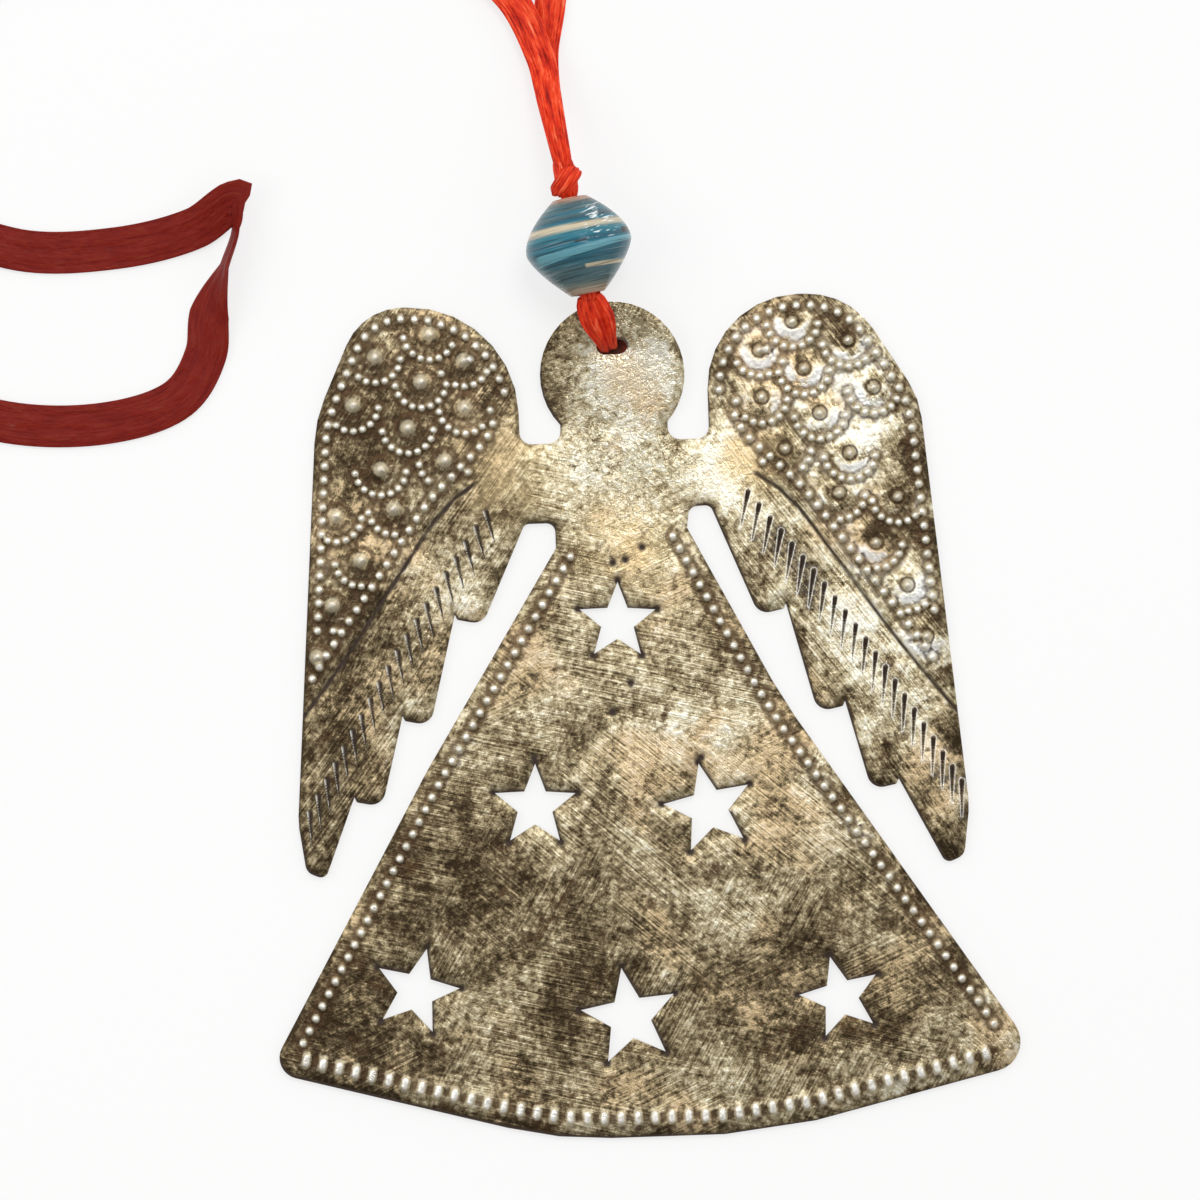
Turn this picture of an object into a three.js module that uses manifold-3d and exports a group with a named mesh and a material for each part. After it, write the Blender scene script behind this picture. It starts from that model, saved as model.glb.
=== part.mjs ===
import * as THREE from 'three';
import Module from 'manifold-3d';

const wasm = await Module();
wasm.setup();

// A chiselled sheet-steel angel that hangs from a satin ribbon through a rolled paper bead.
// Millimetres. It lies face up: flat back at z = 0, head toward +Y, worked face toward +Z.

// Clearances
const touchGap = 0.3; // left between pieces that touch in use
const floorGap = 0.05; // left under whatever lies on the table

// Steel sheet
const sheetThickness = 1.0;
const headRadius = 10.9;
const headCentreY = 51.25;
const neckHalfWidth = 8.1;
const notchY = 41.2; // bottom of the notches between head and wings
const notchRadius = 1.8;
const wingInnerX = 14.3;
const wingTopY = 62.5;
const featherNotchDepth = 0.8;
const featherNotchLean = 0.35; // sideways, over the depth
const featherHeelRadius = 0.4;
const featherEndWidth = 3.8;
const featherEndDrop = 0.8;
const featherEndRadius = 2.2;
const longCurve = 60; // corner radius where an edge only bends a little
const hemY = -63.85;

// The head is bent up at the neck and again at its ribbon hole, for the ribbon behind it.
const neckFoldY = 43.6;
const holeFoldY = 54.3;
const lowerHeadTilt = 7; // degrees
const upperHeadTilt = 18;

// Ribbon hole, a slot with round ends
const holeCentre = new THREE.Vector2(0.1, 55.4);
const holeWidth = 4.6;
const holeHeight = 2.2;

// The shears left the two halves of the angel a little different. Corners are x, y, radius.
const rightHalf = {
  sign: 1,
  shoulderRadius: 14.0,
  crownRadius: 12.0,
  wingSide: [[46.2, 46.2, 13], [51.6, -15.5, 9], [50.6, -23.0, 1.8], [47.8, -24.2, 1.2]],
  armpit: [[14.1, 31.1, 1.2], [10.9, 31.0, 1.4]],
  waist: [10.5, 27.8, 1.0],
  skirtBend: [24.0, 1.5, longCurve],
  skirtCorner: [60.9, -54.2, 4.5],
  hemBreakX: 20,
  slotCount: 22,
  slotRoute: [[20.0, 33.4], [35.0, 13.4], [50.6, -11.4]],
};
const leftHalf = {
  sign: -1,
  shoulderRadius: 17.0,
  crownRadius: 9.5,
  wingSide: [[45.0, 46.0, 20], [49.7, -14.7, 9], [48.7, -22.2, 1.8], [45.9, -23.4, 1.2]],
  armpit: [[14.0, 29.2, 1.0], [9.4, 29.2, 1.4]],
  waist: [9.4, 25.4, 1.0],
  skirtBend: [30.0, -7.5, longCurve],
  skirtCorner: [55.4, -52.1, 3.2],
  hemBreakX: 12,
  slotCount: 20,
  slotRoute: [[19.9, 31.8], [34.4, 10.4], [47.9, -12.6]],
};
const halves = [rightHalf, leftHalf];

// Sharp inner corners between the feathers, from the armpit out
const featherNotches = [[25.0, 15.9], [33.4, 0.9], [41.1, -11.1]];

// Star cut-outs: x, y, tip radius, turn in degrees
const stars = [
  [-0.5, 14.0, 6.0, 88],
  [-13.9, -13.4, 6.4, 88],
  [12.3, -14.6, 6.9, 101],
  [-32.8, -40.7, 6.6, 74],
  [-0.7, -45.7, 7.5, 98],
  [31.2, -43.8, 6.3, 103],
];
const starTips = 5;
const starWaist = 0.43; // inner radius over tip radius

// Chiselled line between the dotted field and the feathers, from the shoulder out
const chiselRoute = [[21.2, 35.6], [26.6, 31.3], [34.2, 20.6], [42.3, 9.0], [52.0, -3.4]];
const chiselWidth = 0.7;
const chiselDepth = 0.4;

// Wedge slots in the feathers
const slotLength = 5.8;
const slotTopWidth = 0.75;
const slotFootWidth = 0.35;
const slotLean = [14, 2]; // degrees, first and last slot

// Punched dots and bosses
const dotRadius = 0.7;
const dotHeight = 0.5;
const dotPitch = 2.1;
const dotInset = 1.7; // from the wing's edge
const skirtDotInset = 2.5;
const hemDotInset = 3.0;
const hemDotStretch = 1.6;
const hemDotPitch = 2.6;
const markRoot = 0.12; // how far a mark's foot is sunk into the sheet
const fieldRoute = [
  [17.6, 46.5], [19.4, 42.2], [24.3, 37.2], [28.9, 32.4], [36.3, 22.0], [44.3, 10.8], [46.8, 7.0],
];
const bosses = [
  [27.4, 58.4], [35.7, 55.2], [22.3, 54.2], [28.9, 51.2], [39.3, 48.0], [22.4, 47.1], [31.1, 44.4],
  [25.7, 39.2], [35.4, 38.2], [33.6, 32.2], [42.4, 31.4], [38.9, 24.6], [43.4, 18.0], [46.0, 10.2],
];
const bossRadius = 1.35;
const bossHeight = 0.9;
const dimpleRadius = 1.0; // in the back, behind each boss
const dimpleDepth = 0.45;
const scaleRadius = 3.9; // arc of dots that hangs under each boss
const scaleDots = 7;
const scaleSpan = 165; // degrees

// Rolled paper bead
const beadRadius = 8.0;
const beadLength = 14.6;
const beadRimRadius = 2.5;
const beadLayers = 10;
const beadFlare = 1.35; // how full the sides are: 1 is a plain double cone
const beadLean = 9; // degrees left of +Y

// Ribbon
const ribbonThickness = 0.5;
const ribbonLeafWidth = 4.8; // spread out on the head
const ribbonHoleWidth = 1.9; // drawn together in the hole
const ribbonHoleThickness = 0.9;
const coreWidth = 2.6; // both strands folded together in the bead
const coreThickness = 1.6;
const hitchLean = 18; // degrees left of +Y
const swingSlack = 0.3; // room for the strands to turn over the head's edge
const tuckReach = 2.2; // from the hole to where the back strand lies along the head
const swayRoom = 0.55; // under the head, for the back strand when the hitch sways
const knotRadius = 1.9;
const knotLength = 5.3;
const knotWrapRadius = 0.6;
const knotWrapSlant = 28; // degrees
const stubWidth = 1.5;
const stubReach = 0.9; // cut end of the ribbon, out of the knot's side
const loopWidth = 5.0; // ribbon creased along its length
const loopThickness = 0.7;

// Middle of the free ribbon: x, y, tilt in degrees, height above its rest on the table
const loopRoute = [
  [-6.4, 83.48, 0, 8.2],
  [-7.3, 88.6, 0, 7.0],
  [-8.2, 94.0, 0, 4.2],
  [-9.3, 99.8, 0, 2.0],
  [-14.0, 109.5, 0, 1.3],
  [-26.0, 118.0, 0, 0.4],
  [-48.0, 121.5, 0, 0],
  [-74.0, 120.0, 0, 0],
  [-96.0, 112.0, 0, 0],
  [-107.0, 96.0, 0, 0],
  [-104.0, 81.0, 0, 0],
  [-90.0, 73.5, 0, 0],
  [-74.0, 73.0, 0, 0],
  [-62.0, 75.6, 20, 0],
  [-56.2, 79.0, 70, 0],
  [-55.9, 75.2, 90, 0],
  [-57.8, 69.6, 70, 0],
  [-60.4, 62.5, 15, 0],
  [-61.2, 56.5, 0, 0],
  [-65.5, 50.0, 0, 0],
  [-78.0, 46.5, 0, 0],
  [-96.0, 48.5, 0, 0],
  [-111.0, 58.0, 0, 0],
  [-119.0, 76.0, 0, 0],
  [-118.0, 98.0, 0, 0],
  [-108.0, 117.0, 0, 0],
  [-90.0, 130.0, 0, 0],
  [-64.0, 135.0, 0, 0],
  [-36.0, 134.0, 0, 0],
  [-16.0, 126.0, 0, 0],
  [-7.5, 112.5, 0, 0],
  [-8.6, 99.8, 0, 0.6],
  [-8.2, 94.0, 0, 2.8],
  [-7.3, 88.6, 0, 5.7],
  [-6.4, 83.48, 0, 7.1],
];
const loopStepsPerStretch = 2;

const radians = THREE.MathUtils.degToRad;

// Plane geometry

function halfAngleAt(before, corner, after) {
  const toBefore = before.clone().sub(corner).normalize();
  const toAfter = after.clone().sub(corner).normalize();
  return Math.acos(THREE.MathUtils.clamp(toBefore.dot(toAfter), -1, 1)) / 2;
}

function cornerArc(before, corner, after, reach) {
  const toBefore = before.clone().sub(corner).normalize();
  const toAfter = after.clone().sub(corner).normalize();
  const halfAngle = halfAngleAt(before, corner, after);
  const arcRadius = reach * Math.tan(halfAngle);
  const centre = toBefore.clone().add(toAfter).normalize();
  centre.multiplyScalar(arcRadius / Math.sin(halfAngle)).add(corner);
  const side = Math.sign(toAfter.cross(toBefore));
  const start = toBefore.multiplyScalar(reach).add(corner).sub(centre);
  const turn = Math.PI - 2 * halfAngle;
  const steps = Math.max(1, Math.ceil(turn / radians(14)));
  const points = [];
  for (let i = 0; i <= steps; i += 1) {
    points.push(start.clone().rotateAround(new THREE.Vector2(), (side * turn * i) / steps).add(centre));
  }
  return points;
}

// How far each corner's arc reaches along its two sides; where two arcs would meet, both give way.
function arcReaches(places, corners) {
  const wanted = places.map((place, i) => {
    if (i === 0 || i === places.length - 1) {
      return 0;
    }
    const room = 0.82 * Math.min(place.distanceTo(places[i - 1]), place.distanceTo(places[i + 1]));
    return Math.min(corners[i][2] / Math.tan(halfAngleAt(places[i - 1], place, places[i + 1])), room);
  });
  return wanted.map((reach, i) => {
    const shares = [i - 1, i + 1].filter((j) => j >= 0 && j < places.length).map((j) => (
      (0.97 * places[i].distanceTo(places[j])) / Math.max(reach + wanted[j], 0.01)
    ));
    return reach * Math.min(1, ...shares);
  });
}

// Open path through corners given as [x, y, radius]; its two ends stay as they are.
function roundedPath(corners) {
  const places = corners.map(([x, y]) => new THREE.Vector2(x, y));
  const reaches = arcReaches(places, corners);
  const path = [places[0]];
  for (let i = 1; i < corners.length - 1; i += 1) {
    path.push(...cornerArc(places[i - 1], places[i], places[i + 1], reaches[i]));
  }
  path.push(places[places.length - 1]);
  return path;
}

function smoothPath(points, steps) {
  const curve = new THREE.SplineCurve(points.map(([x, y]) => new THREE.Vector2(x, y)));
  return curve.getSpacedPoints(steps);
}

// The path moved sideways, to the right of the way it runs
function offsetPath(path, distance) {
  return path.map((point, i) => {
    const before = path[Math.max(i - 1, 0)];
    const after = path[Math.min(i + 1, path.length - 1)];
    const along = after.clone().sub(before).normalize();
    return new THREE.Vector2(along.y, -along.x).multiplyScalar(distance).add(point);
  });
}

// Places about one pitch apart along a path, each with the direction of the path there
function spacedAlong(path, pitch) {
  const lengths = [0];
  for (let i = 1; i < path.length; i += 1) {
    lengths.push(lengths[i - 1] + path[i].distanceTo(path[i - 1]));
  }
  const total = lengths[lengths.length - 1];
  const count = Math.max(1, Math.round(total / pitch));
  const places = [];
  let stretch = 1;
  for (let i = 0; i <= count; i += 1) {
    const target = (total * i) / count;
    while (lengths[stretch] < target && stretch < path.length - 1) {
      stretch += 1;
    }
    const share = (target - lengths[stretch - 1]) / (lengths[stretch] - lengths[stretch - 1]);
    const along = path[stretch].clone().sub(path[stretch - 1]);
    places.push({ point: path[stretch - 1].clone().lerp(path[stretch], share), angle: along.angle() });
  }
  return places;
}

function isInside(point, polygon) {
  let inside = false;
  polygon.forEach((a, i) => {
    const b = polygon[(i + 1) % polygon.length];
    const crosses = a.y > point.y !== b.y > point.y;
    if (crosses && point.x < a.x + ((b.x - a.x) * (point.y - a.y)) / (b.y - a.y)) {
      inside = !inside;
    }
  });
  return inside;
}

// Outline of the angel. Each half is drawn to the right of the middle and then put on its side.

function neckCorner() {
  const drop = Math.sqrt(headRadius ** 2 - neckHalfWidth ** 2);
  return [neckHalfWidth, headCentreY - drop, 0];
}

function wingEdge(half) {
  return roundedPath([
    neckCorner(),
    [neckHalfWidth, notchY, notchRadius],
    [wingInnerX, notchY, notchRadius],
    [wingInnerX, wingTopY, half.shoulderRadius],
    [wingInnerX + half.shoulderRadius + 0.65 * half.crownRadius, wingTopY, half.crownRadius],
    ...half.wingSide,
    featherNotches[featherNotches.length - 1],
  ]);
}

function featherEdge(half) {
  const corners = [];
  [...featherNotches].reverse().forEach(([x, y]) => {
    const heelX = x - featherNotchLean;
    const heelY = y - featherNotchDepth;
    corners.push([x, y, 0], [heelX, heelY, featherHeelRadius]);
    corners.push([heelX - featherEndWidth, heelY - featherEndDrop, featherEndRadius]);
  });
  return roundedPath([...corners, ...half.armpit, half.waist]);
}

function skirtEdge(half) {
  return roundedPath([half.waist, half.skirtBend, half.skirtCorner]);
}

function hemCorners(half) {
  return [half.skirtCorner, [half.hemBreakX, hemY, longCurve], [0, hemY, 0]];
}

function headArc() {
  const [x, y] = neckCorner();
  const start = Math.atan2(y - headCentreY, -x);
  const end = Math.atan2(y - headCentreY, x);
  const turn = 2 * Math.PI + start - end;
  const steps = 30;
  return Array.from({ length: steps + 1 }, (_, i) => {
    const angle = start - (turn * i) / steps;
    return new THREE.Vector2(headRadius * Math.cos(angle), headCentreY + headRadius * Math.sin(angle));
  });
}

function halfOutline(half) {
  const skirt = roundedPath([half.waist, half.skirtBend, ...hemCorners(half)]);
  return [...wingEdge(half), ...featherEdge(half), ...skirt];
}

function plateShape() {
  const right = halfOutline(rightHalf);
  const left = halfOutline(leftHalf).map((p) => new THREE.Vector2(-p.x, p.y));
  const outline = [...headArc(), ...right, ...left.reverse()];
  const shape = new THREE.Shape(withoutRepeats(outline.reverse()));
  shape.holes.push(new THREE.Path(ribbonHole()));
  stars.forEach((star) => shape.holes.push(new THREE.Path(starPoints(star))));
  halves.forEach((half) => {
    slotOutlines(half).forEach((slot) => shape.holes.push(new THREE.Path(slot)));
  });
  return shape;
}

function withoutRepeats(points) {
  return points.filter((point, i) => {
    const next = points[(i + 1) % points.length];
    return point.distanceTo(next) > 0.02;
  });
}

function ribbonHole() {
  const endRadius = holeHeight / 2;
  const points = [];
  [1, -1].forEach((side) => {
    for (let i = 0; i <= 6; i += 1) {
      const angle = (Math.PI * i) / 6 - (side * Math.PI) / 2;
      points.push(new THREE.Vector2(
        holeCentre.x + side * (holeWidth / 2 - endRadius) + endRadius * Math.cos(angle),
        holeCentre.y + endRadius * Math.sin(angle)
      ));
    }
  });
  return points;
}

function starPoints([x, y, tipRadius, turn]) {
  return Array.from({ length: 2 * starTips }, (_, i) => {
    const radius = i % 2 === 0 ? tipRadius : tipRadius * starWaist;
    const angle = radians(turn + (180 / starTips) * i);
    return new THREE.Vector2(x + radius * Math.cos(angle), y + radius * Math.sin(angle));
  });
}

function slotOutlines(half) {
  const tops = smoothPath(half.slotRoute, half.slotCount - 1);
  return tops.map((top, i) => {
    const lean = radians(THREE.MathUtils.lerp(slotLean[0], slotLean[1], i / (tops.length - 1)));
    const down = new THREE.Vector2(-Math.sin(lean), -Math.cos(lean));
    const across = new THREE.Vector2(-down.y, down.x);
    const foot = down.multiplyScalar(slotLength).add(top);
    const wedge = [
      top.clone().addScaledVector(across, slotTopWidth / 2),
      top.clone().addScaledVector(across, -slotTopWidth / 2),
      foot.clone().addScaledVector(across, -slotFootWidth / 2),
      foot.clone().addScaledVector(across, slotFootWidth / 2),
    ];
    return wedge.map((p) => new THREE.Vector2(half.sign * p.x, p.y));
  });
}

// Solids

function weld(geometry) {
  const places = geometry.getAttribute('position');
  const order = geometry.index ? Array.from(geometry.index.array) : [...Array(places.count).keys()];
  const seen = new Map();
  const vertices = [];
  const merged = order.map((i) => {
    const xyz = [places.getX(i), places.getY(i), places.getZ(i)];
    const key = xyz.map((value) => Math.round(value * 1e4)).join(' ');
    if (!seen.has(key)) {
      seen.set(key, vertices.length / 3);
      vertices.push(...xyz);
    }
    return seen.get(key);
  });
  const triangles = [];
  for (let i = 0; i < merged.length; i += 3) {
    const [a, b, c] = merged.slice(i, i + 3);
    if (a !== b && b !== c && c !== a) {
      triangles.push(a, b, c);
    }
  }
  return { vertices, triangles };
}

function toManifold(geometry) {
  const { vertices, triangles } = weld(geometry);
  return new wasm.Manifold(new wasm.Mesh({
    numProp: 3,
    vertProperties: new Float32Array(vertices),
    triVerts: new Uint32Array(triangles),
  }));
}

function toGeometry(vertices, triangles) {
  const geometry = new THREE.BufferGeometry();
  geometry.setAttribute('position', new THREE.Float32BufferAttribute(vertices, 3));
  geometry.setIndex(Array.from(triangles));
  const faceted = geometry.toNonIndexed();
  faceted.computeVertexNormals();
  return faceted;
}

function fromManifold(solid) {
  const mesh = solid.getMesh();
  return toGeometry(Array.from(mesh.vertProperties), mesh.triVerts);
}

// Solid through a row of convex rings that have as many points each
function loft(rings) {
  const sides = rings[0].length;
  const vertices = rings.flat().flatMap((p) => [p.x, p.y, p.z]);
  const triangles = [];
  for (let ring = 0; ring + 1 < rings.length; ring += 1) {
    for (let i = 0; i < sides; i += 1) {
      const a = ring * sides + i;
      const b = ring * sides + ((i + 1) % sides);
      triangles.push(a, b, b + sides, a, b + sides, a + sides);
    }
  }
  const last = (rings.length - 1) * sides;
  for (let i = 1; i + 1 < sides; i += 1) {
    triangles.push(0, i + 1, i, last, last + i, last + i + 1);
  }
  return toGeometry(vertices, triangles);
}

// Eight-sided section of a flat ribbon
function ribbonSection(width, thickness) {
  const w = width / 2;
  const t = thickness / 2;
  const cut = 0.7 * t;
  return [
    [cut - w, -t], [-w, cut - t], [-w, t - cut], [cut - w, t],
    [w - cut, t], [w, t - cut], [w, cut - t], [w - cut, -t],
  ];
}

function ribbonRing(centre, across, up, width, thickness) {
  return ribbonSection(width, thickness).map(([u, v]) =>
    centre.clone().addScaledVector(across, u).addScaledVector(up, v)
  );
}

// Angel plate

// Shapes that the punches leave: each level is a share of the radius and a share of the height.
const coneLevels = [[1, 0]];
const domeLevels = [[1, 0], [0.72, 0.62]];
const dotMark = { radius: dotRadius, height: dotHeight, sides: 6, stretch: 1, shape: coneLevels };
const hemMark = { ...dotMark, stretch: hemDotStretch };
const bossMark = { radius: bossRadius, height: bossHeight, sides: 8, stretch: 1, shape: domeLevels };
const dimpleMark = { ...bossMark, radius: dimpleRadius, height: dimpleDepth, shape: coneLevels };

// Mark that stands on the sheet's face, its foot a little way into the sheet
function punchMark(marks, { point, angle }, { radius, height, sides, stretch, shape }) {
  const start = marks.vertices.length / 3;
  const levels = shape.map(([share, rise]) => [share, rise * height]);
  levels[0] = [1 + markRoot / height, -markRoot];
  levels.forEach(([share, z]) => {
    for (let i = 0; i < sides; i += 1) {
      const corner = new THREE.Vector2(radius * share, 0);
      corner.rotateAround(new THREE.Vector2(), (2 * Math.PI * i) / sides);
      corner.y *= stretch;
      corner.rotateAround(new THREE.Vector2(), angle).add(point);
      marks.vertices.push(corner.x, corner.y, sheetThickness + z);
    }
  });
  marks.vertices.push(point.x, point.y, sheetThickness + height);
  const apex = start + levels.length * sides;
  for (let i = 0; i < sides; i += 1) {
    const next = (i + 1) % sides;
    for (let level = 0; level + 1 < levels.length; level += 1) {
      const a = start + level * sides + i;
      const b = start + level * sides + next;
      marks.triangles.push(a, b, b + sides, a, b + sides, a + sides);
    }
    const top = apex - sides;
    marks.triangles.push(top + i, top + next, apex);
  }
  for (let i = 1; i + 1 < sides; i += 1) {
    marks.triangles.push(start, start + i + 1, start + i);
  }
}

function dottedField(half) {
  const edge = offsetPath(wingEdge(half), dotInset);
  const lowest = fieldRoute[fieldRoute.length - 1][1];
  const first = edge.findIndex((p) => p.y > fieldRoute[0][1] && p.x > wingInnerX);
  const last = edge.findIndex((p, i) => i > first && p.x > fieldRoute[0][0] + 20 && p.y < lowest);
  const border = edge.slice(first, last);
  const along = border[border.length - 1].clone().lerp(edge[last], 0.5);
  return { border: [...border, along], foot: smoothPath(fieldRoute, 40) };
}

// Rows go first, so that a scale's dot is left out where it would crowd one of theirs.
function wingDots(half) {
  const { border, foot } = dottedField(half);
  const places = [...spacedAlong(border, dotPitch), ...spacedAlong(foot, dotPitch).slice(1)];
  const field = [...border, ...[...foot].reverse()];
  const crowds = (point) => places.some((other) => other.point.distanceTo(point) < 0.78 * dotPitch);
  bosses.forEach((boss) => {
    scaleArc(boss).forEach((point) => {
      if (isInside(point, field) && !crowds(point) && !isOnBoss(point)) {
        places.push({ point, angle: 0 });
      }
    });
  });
  return places;
}

function scaleArc([x, y]) {
  return Array.from({ length: scaleDots }, (_, i) => {
    const angle = radians(-90 + scaleSpan * (i / (scaleDots - 1) - 0.5));
    return new THREE.Vector2(x + scaleRadius * Math.cos(angle), y + scaleRadius * Math.sin(angle));
  });
}

function isOnBoss(point) {
  const reach = bossRadius + 1.2 * dotRadius;
  return bosses.some(([x, y]) => point.distanceTo(new THREE.Vector2(x, y)) < reach);
}

function bossPlaces(half) {
  return bosses.map(([x, y]) => mirrored({ point: new THREE.Vector2(x, y), angle: 0 }, half));
}

function skirtDots(half) {
  const side = offsetPath(skirtEdge(half), skirtDotInset);
  const lowest = half.skirtCorner[1] + 1.2 * half.skirtCorner[2];
  return spacedAlong(side, dotPitch).filter(({ point }) => point.y > lowest);
}

function hemDots(half) {
  const hem = offsetPath(roundedPath(hemCorners(half)), hemDotInset);
  const furthest = half.skirtCorner[0] - 1.6 * half.skirtCorner[2];
  const nearest = (half.sign > 0 ? -0.5 : 0.5) * hemDotPitch; // the dot in the middle is the right half's
  return spacedAlong(hem, hemDotPitch).filter(({ point }) => point.x < furthest && point.x > nearest);
}

function mirrored({ point, angle }, half) {
  return {
    point: new THREE.Vector2(half.sign * point.x, point.y),
    angle: half.sign > 0 ? angle : Math.PI - angle,
  };
}

function punchMarks() {
  const marks = { vertices: [], triangles: [] };
  halves.forEach((half) => {
    [...wingDots(half), ...skirtDots(half)].forEach((place) => {
      punchMark(marks, mirrored(place, half), dotMark);
    });
    hemDots(half).forEach((place) => punchMark(marks, mirrored(place, half), hemMark));
    bossPlaces(half).forEach((place) => punchMark(marks, place, bossMark));
  });
  return toGeometry(marks.vertices, marks.triangles);
}

// Hollows that the punch left in the back behind the bosses
function backDimples() {
  const marks = { vertices: [], triangles: [] };
  halves.forEach((half) => {
    bossPlaces(half).forEach((place) => punchMark(marks, place, dimpleMark));
  });
  return toGeometry(marks.vertices, marks.triangles).translate(0, 0, -sheetThickness);
}

function chiselGroove(half) {
  const route = smoothPath(chiselRoute, 12);
  const rings = route.map((point, i) => {
    const before = route[Math.max(i - 1, 0)];
    const after = route[Math.min(i + 1, route.length - 1)];
    const across = after.clone().sub(before).normalize().rotateAround(new THREE.Vector2(), Math.PI / 2);
    const ring = [[1.5, 0.5], [0, -1], [-1.5, 0.5]].map(([share, depth]) => new THREE.Vector3(
      half.sign * (point.x + (across.x * share * chiselWidth) / 2),
      point.y + (across.y * share * chiselWidth) / 2,
      sheetThickness + depth * chiselDepth
    ));
    return half.sign > 0 ? ring : ring.reverse();
  });
  return loft(rings);
}

function headLift(y) {
  const lower = Math.max(0, Math.min(y, holeFoldY) - neckFoldY);
  const upper = Math.max(0, y - holeFoldY);
  return lower * Math.tan(radians(lowerHeadTilt)) + upper * Math.tan(radians(upperHeadTilt));
}

// Splits triangles along the line y = foldY, so that the sheet can bend there.
function creaseAt(mesh, foldY) {
  const { vertices } = mesh;
  const made = new Map();
  const yOf = (i) => vertices[3 * i + 1];
  const cross = (i, j) => {
    const key = i < j ? `${i} ${j}` : `${j} ${i}`;
    if (!made.has(key)) {
      const [a, b] = i < j ? [i, j] : [j, i];
      const share = (foldY - yOf(a)) / (yOf(b) - yOf(a));
      made.set(key, vertices.length / 3);
      [0, 1, 2].forEach((k) => {
        vertices.push(vertices[3 * a + k] + share * (vertices[3 * b + k] - vertices[3 * a + k]));
      });
    }
    return made.get(key);
  };
  const triangles = [];
  for (let i = 0; i < mesh.triangles.length; i += 3) {
    const corners = Array.from(mesh.triangles.slice(i, i + 3));
    const loop = [];
    corners.forEach((corner, k) => {
      const next = corners[(k + 1) % 3];
      loop.push(corner);
      if ((yOf(corner) - foldY) * (yOf(next) - foldY) < 0) {
        loop.push(cross(corner, next));
      }
    });
    triangles.push(...splitLoop(loop, yOf, foldY));
  }
  return { vertices, triangles };
}

// Triangles of a creased loop, none of which crosses the fold
function splitLoop(loop, yOf, foldY) {
  const triangles = [];
  const fan = (part) => {
    for (let i = 1; i + 1 < part.length; i += 1) {
      triangles.push(part[0], part[i], part[i + 1]);
    }
  };
  if (loop.length === 3) {
    return loop;
  }
  fan(loop.filter((i) => yOf(i) > foldY - 1e-4));
  fan(loop.filter((i) => yOf(i) < foldY + 1e-4));
  return triangles;
}

function bendHead(solid) {
  const mesh = solid.getMesh();
  let bent = { vertices: Array.from(mesh.vertProperties), triangles: Array.from(mesh.triVerts) };
  bent = creaseAt(bent, neckFoldY);
  bent = creaseAt(bent, holeFoldY);
  const headSide = (headRadius + wingInnerX) / 2;
  for (let i = 0; i < bent.vertices.length; i += 3) {
    if (Math.abs(bent.vertices[i]) < headSide) {
      bent.vertices[i + 2] += headLift(bent.vertices[i + 1]);
    }
  }
  return toGeometry(bent.vertices, bent.triangles);
}

function angelPlate() {
  const sheet = new THREE.ExtrudeGeometry(plateShape(), { depth: sheetThickness, bevelEnabled: false });
  let solid = toManifold(sheet).add(toManifold(punchMarks()));
  solid = solid.subtract(toManifold(backDimples()));
  halves.forEach((half) => {
    solid = solid.subtract(toManifold(chiselGroove(half)));
  });
  return bendHead(solid);
}

// Ribbon and bead. The hitch's strands run from the hole toward the swing hinge at the bead's mouth.

const up = new THREE.Vector3(0, 0, 1);
const hitchAway = new THREE.Vector3(-Math.sin(radians(hitchLean)), Math.cos(radians(hitchLean)), 0);
const hitchAcross = new THREE.Vector3().crossVectors(hitchAway, up);
const hitchFoot = new THREE.Vector3(holeCentre.x - 0.85, holeCentre.y, 0);
const beadAway = new THREE.Vector3(-Math.sin(radians(beadLean)), Math.cos(radians(beadLean)), 0);
const beadAcross = new THREE.Vector3().crossVectors(beadAway, up);

// Distance from the hitch's foot to the head's top edge, the way the strands run
function headEdgeReach() {
  const toCentre = new THREE.Vector2(0, headCentreY).sub(new THREE.Vector2(hitchFoot.x, hitchFoot.y));
  const along = toCentre.x * hitchAway.x + toCentre.y * hitchAway.y;
  return along + Math.sqrt(along ** 2 - toCentre.lengthSq() + headRadius ** 2);
}

const edgeReach = headEdgeReach();
const edgeClearance = 1.25 * touchGap + ribbonThickness / 2;
const swingHinge = hitchFoot.clone().addScaledVector(hitchAway, edgeReach + edgeClearance + swingSlack);
swingHinge.z = beadRadius + floorGap;
const knuckleRadius = coreThickness / 2;
const mouthGap = knuckleRadius - 0.2; // from the swing hinge to the bead's mouth
const beadTop = mouthGap + beadLength;
const knotFoot = beadTop + touchGap;

function onBeadAxis(distance) {
  return swingHinge.clone().addScaledVector(beadAway, distance);
}

function onStrand(reach, height) {
  return hitchFoot.clone().addScaledVector(hitchAway, reach).setZ(height);
}

function headBack(reach) {
  return headLift(hitchFoot.y + reach * hitchAway.y);
}

function paperBead() {
  const half = beadLength / 2;
  const bore = coreWidth / 2 + touchGap;
  const radiusAt = (layer) => beadRimRadius + ((beadRadius - beadRimRadius) * layer) / beadLayers;
  const reachAt = (layer) => half * (1 - layer / beadLayers) ** (1 / beadFlare);
  const side = [];
  for (let layer = 0; layer < beadLayers; layer += 1) {
    side.push([radiusAt(layer), reachAt(layer)], [radiusAt(layer + 1), reachAt(layer)]);
  }
  const profile = [
    [bore, -half],
    ...side.map(([r, a]) => [r, -a]),
    ...side.map(([r, a]) => [r, a]).reverse(),
    [bore, half],
    [bore, -half],
  ];
  const points = profile.map(([r, a]) => new THREE.Vector2(r, a));
  const bead = new THREE.LatheGeometry(points, 22);
  bead.rotateZ(radians(beadLean));
  const centre = onBeadAxis(mouthGap + half);
  bead.translate(centre.x, centre.y, centre.z);
  const { vertices, triangles } = weld(bead);
  return toGeometry(vertices, triangles);
}

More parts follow.
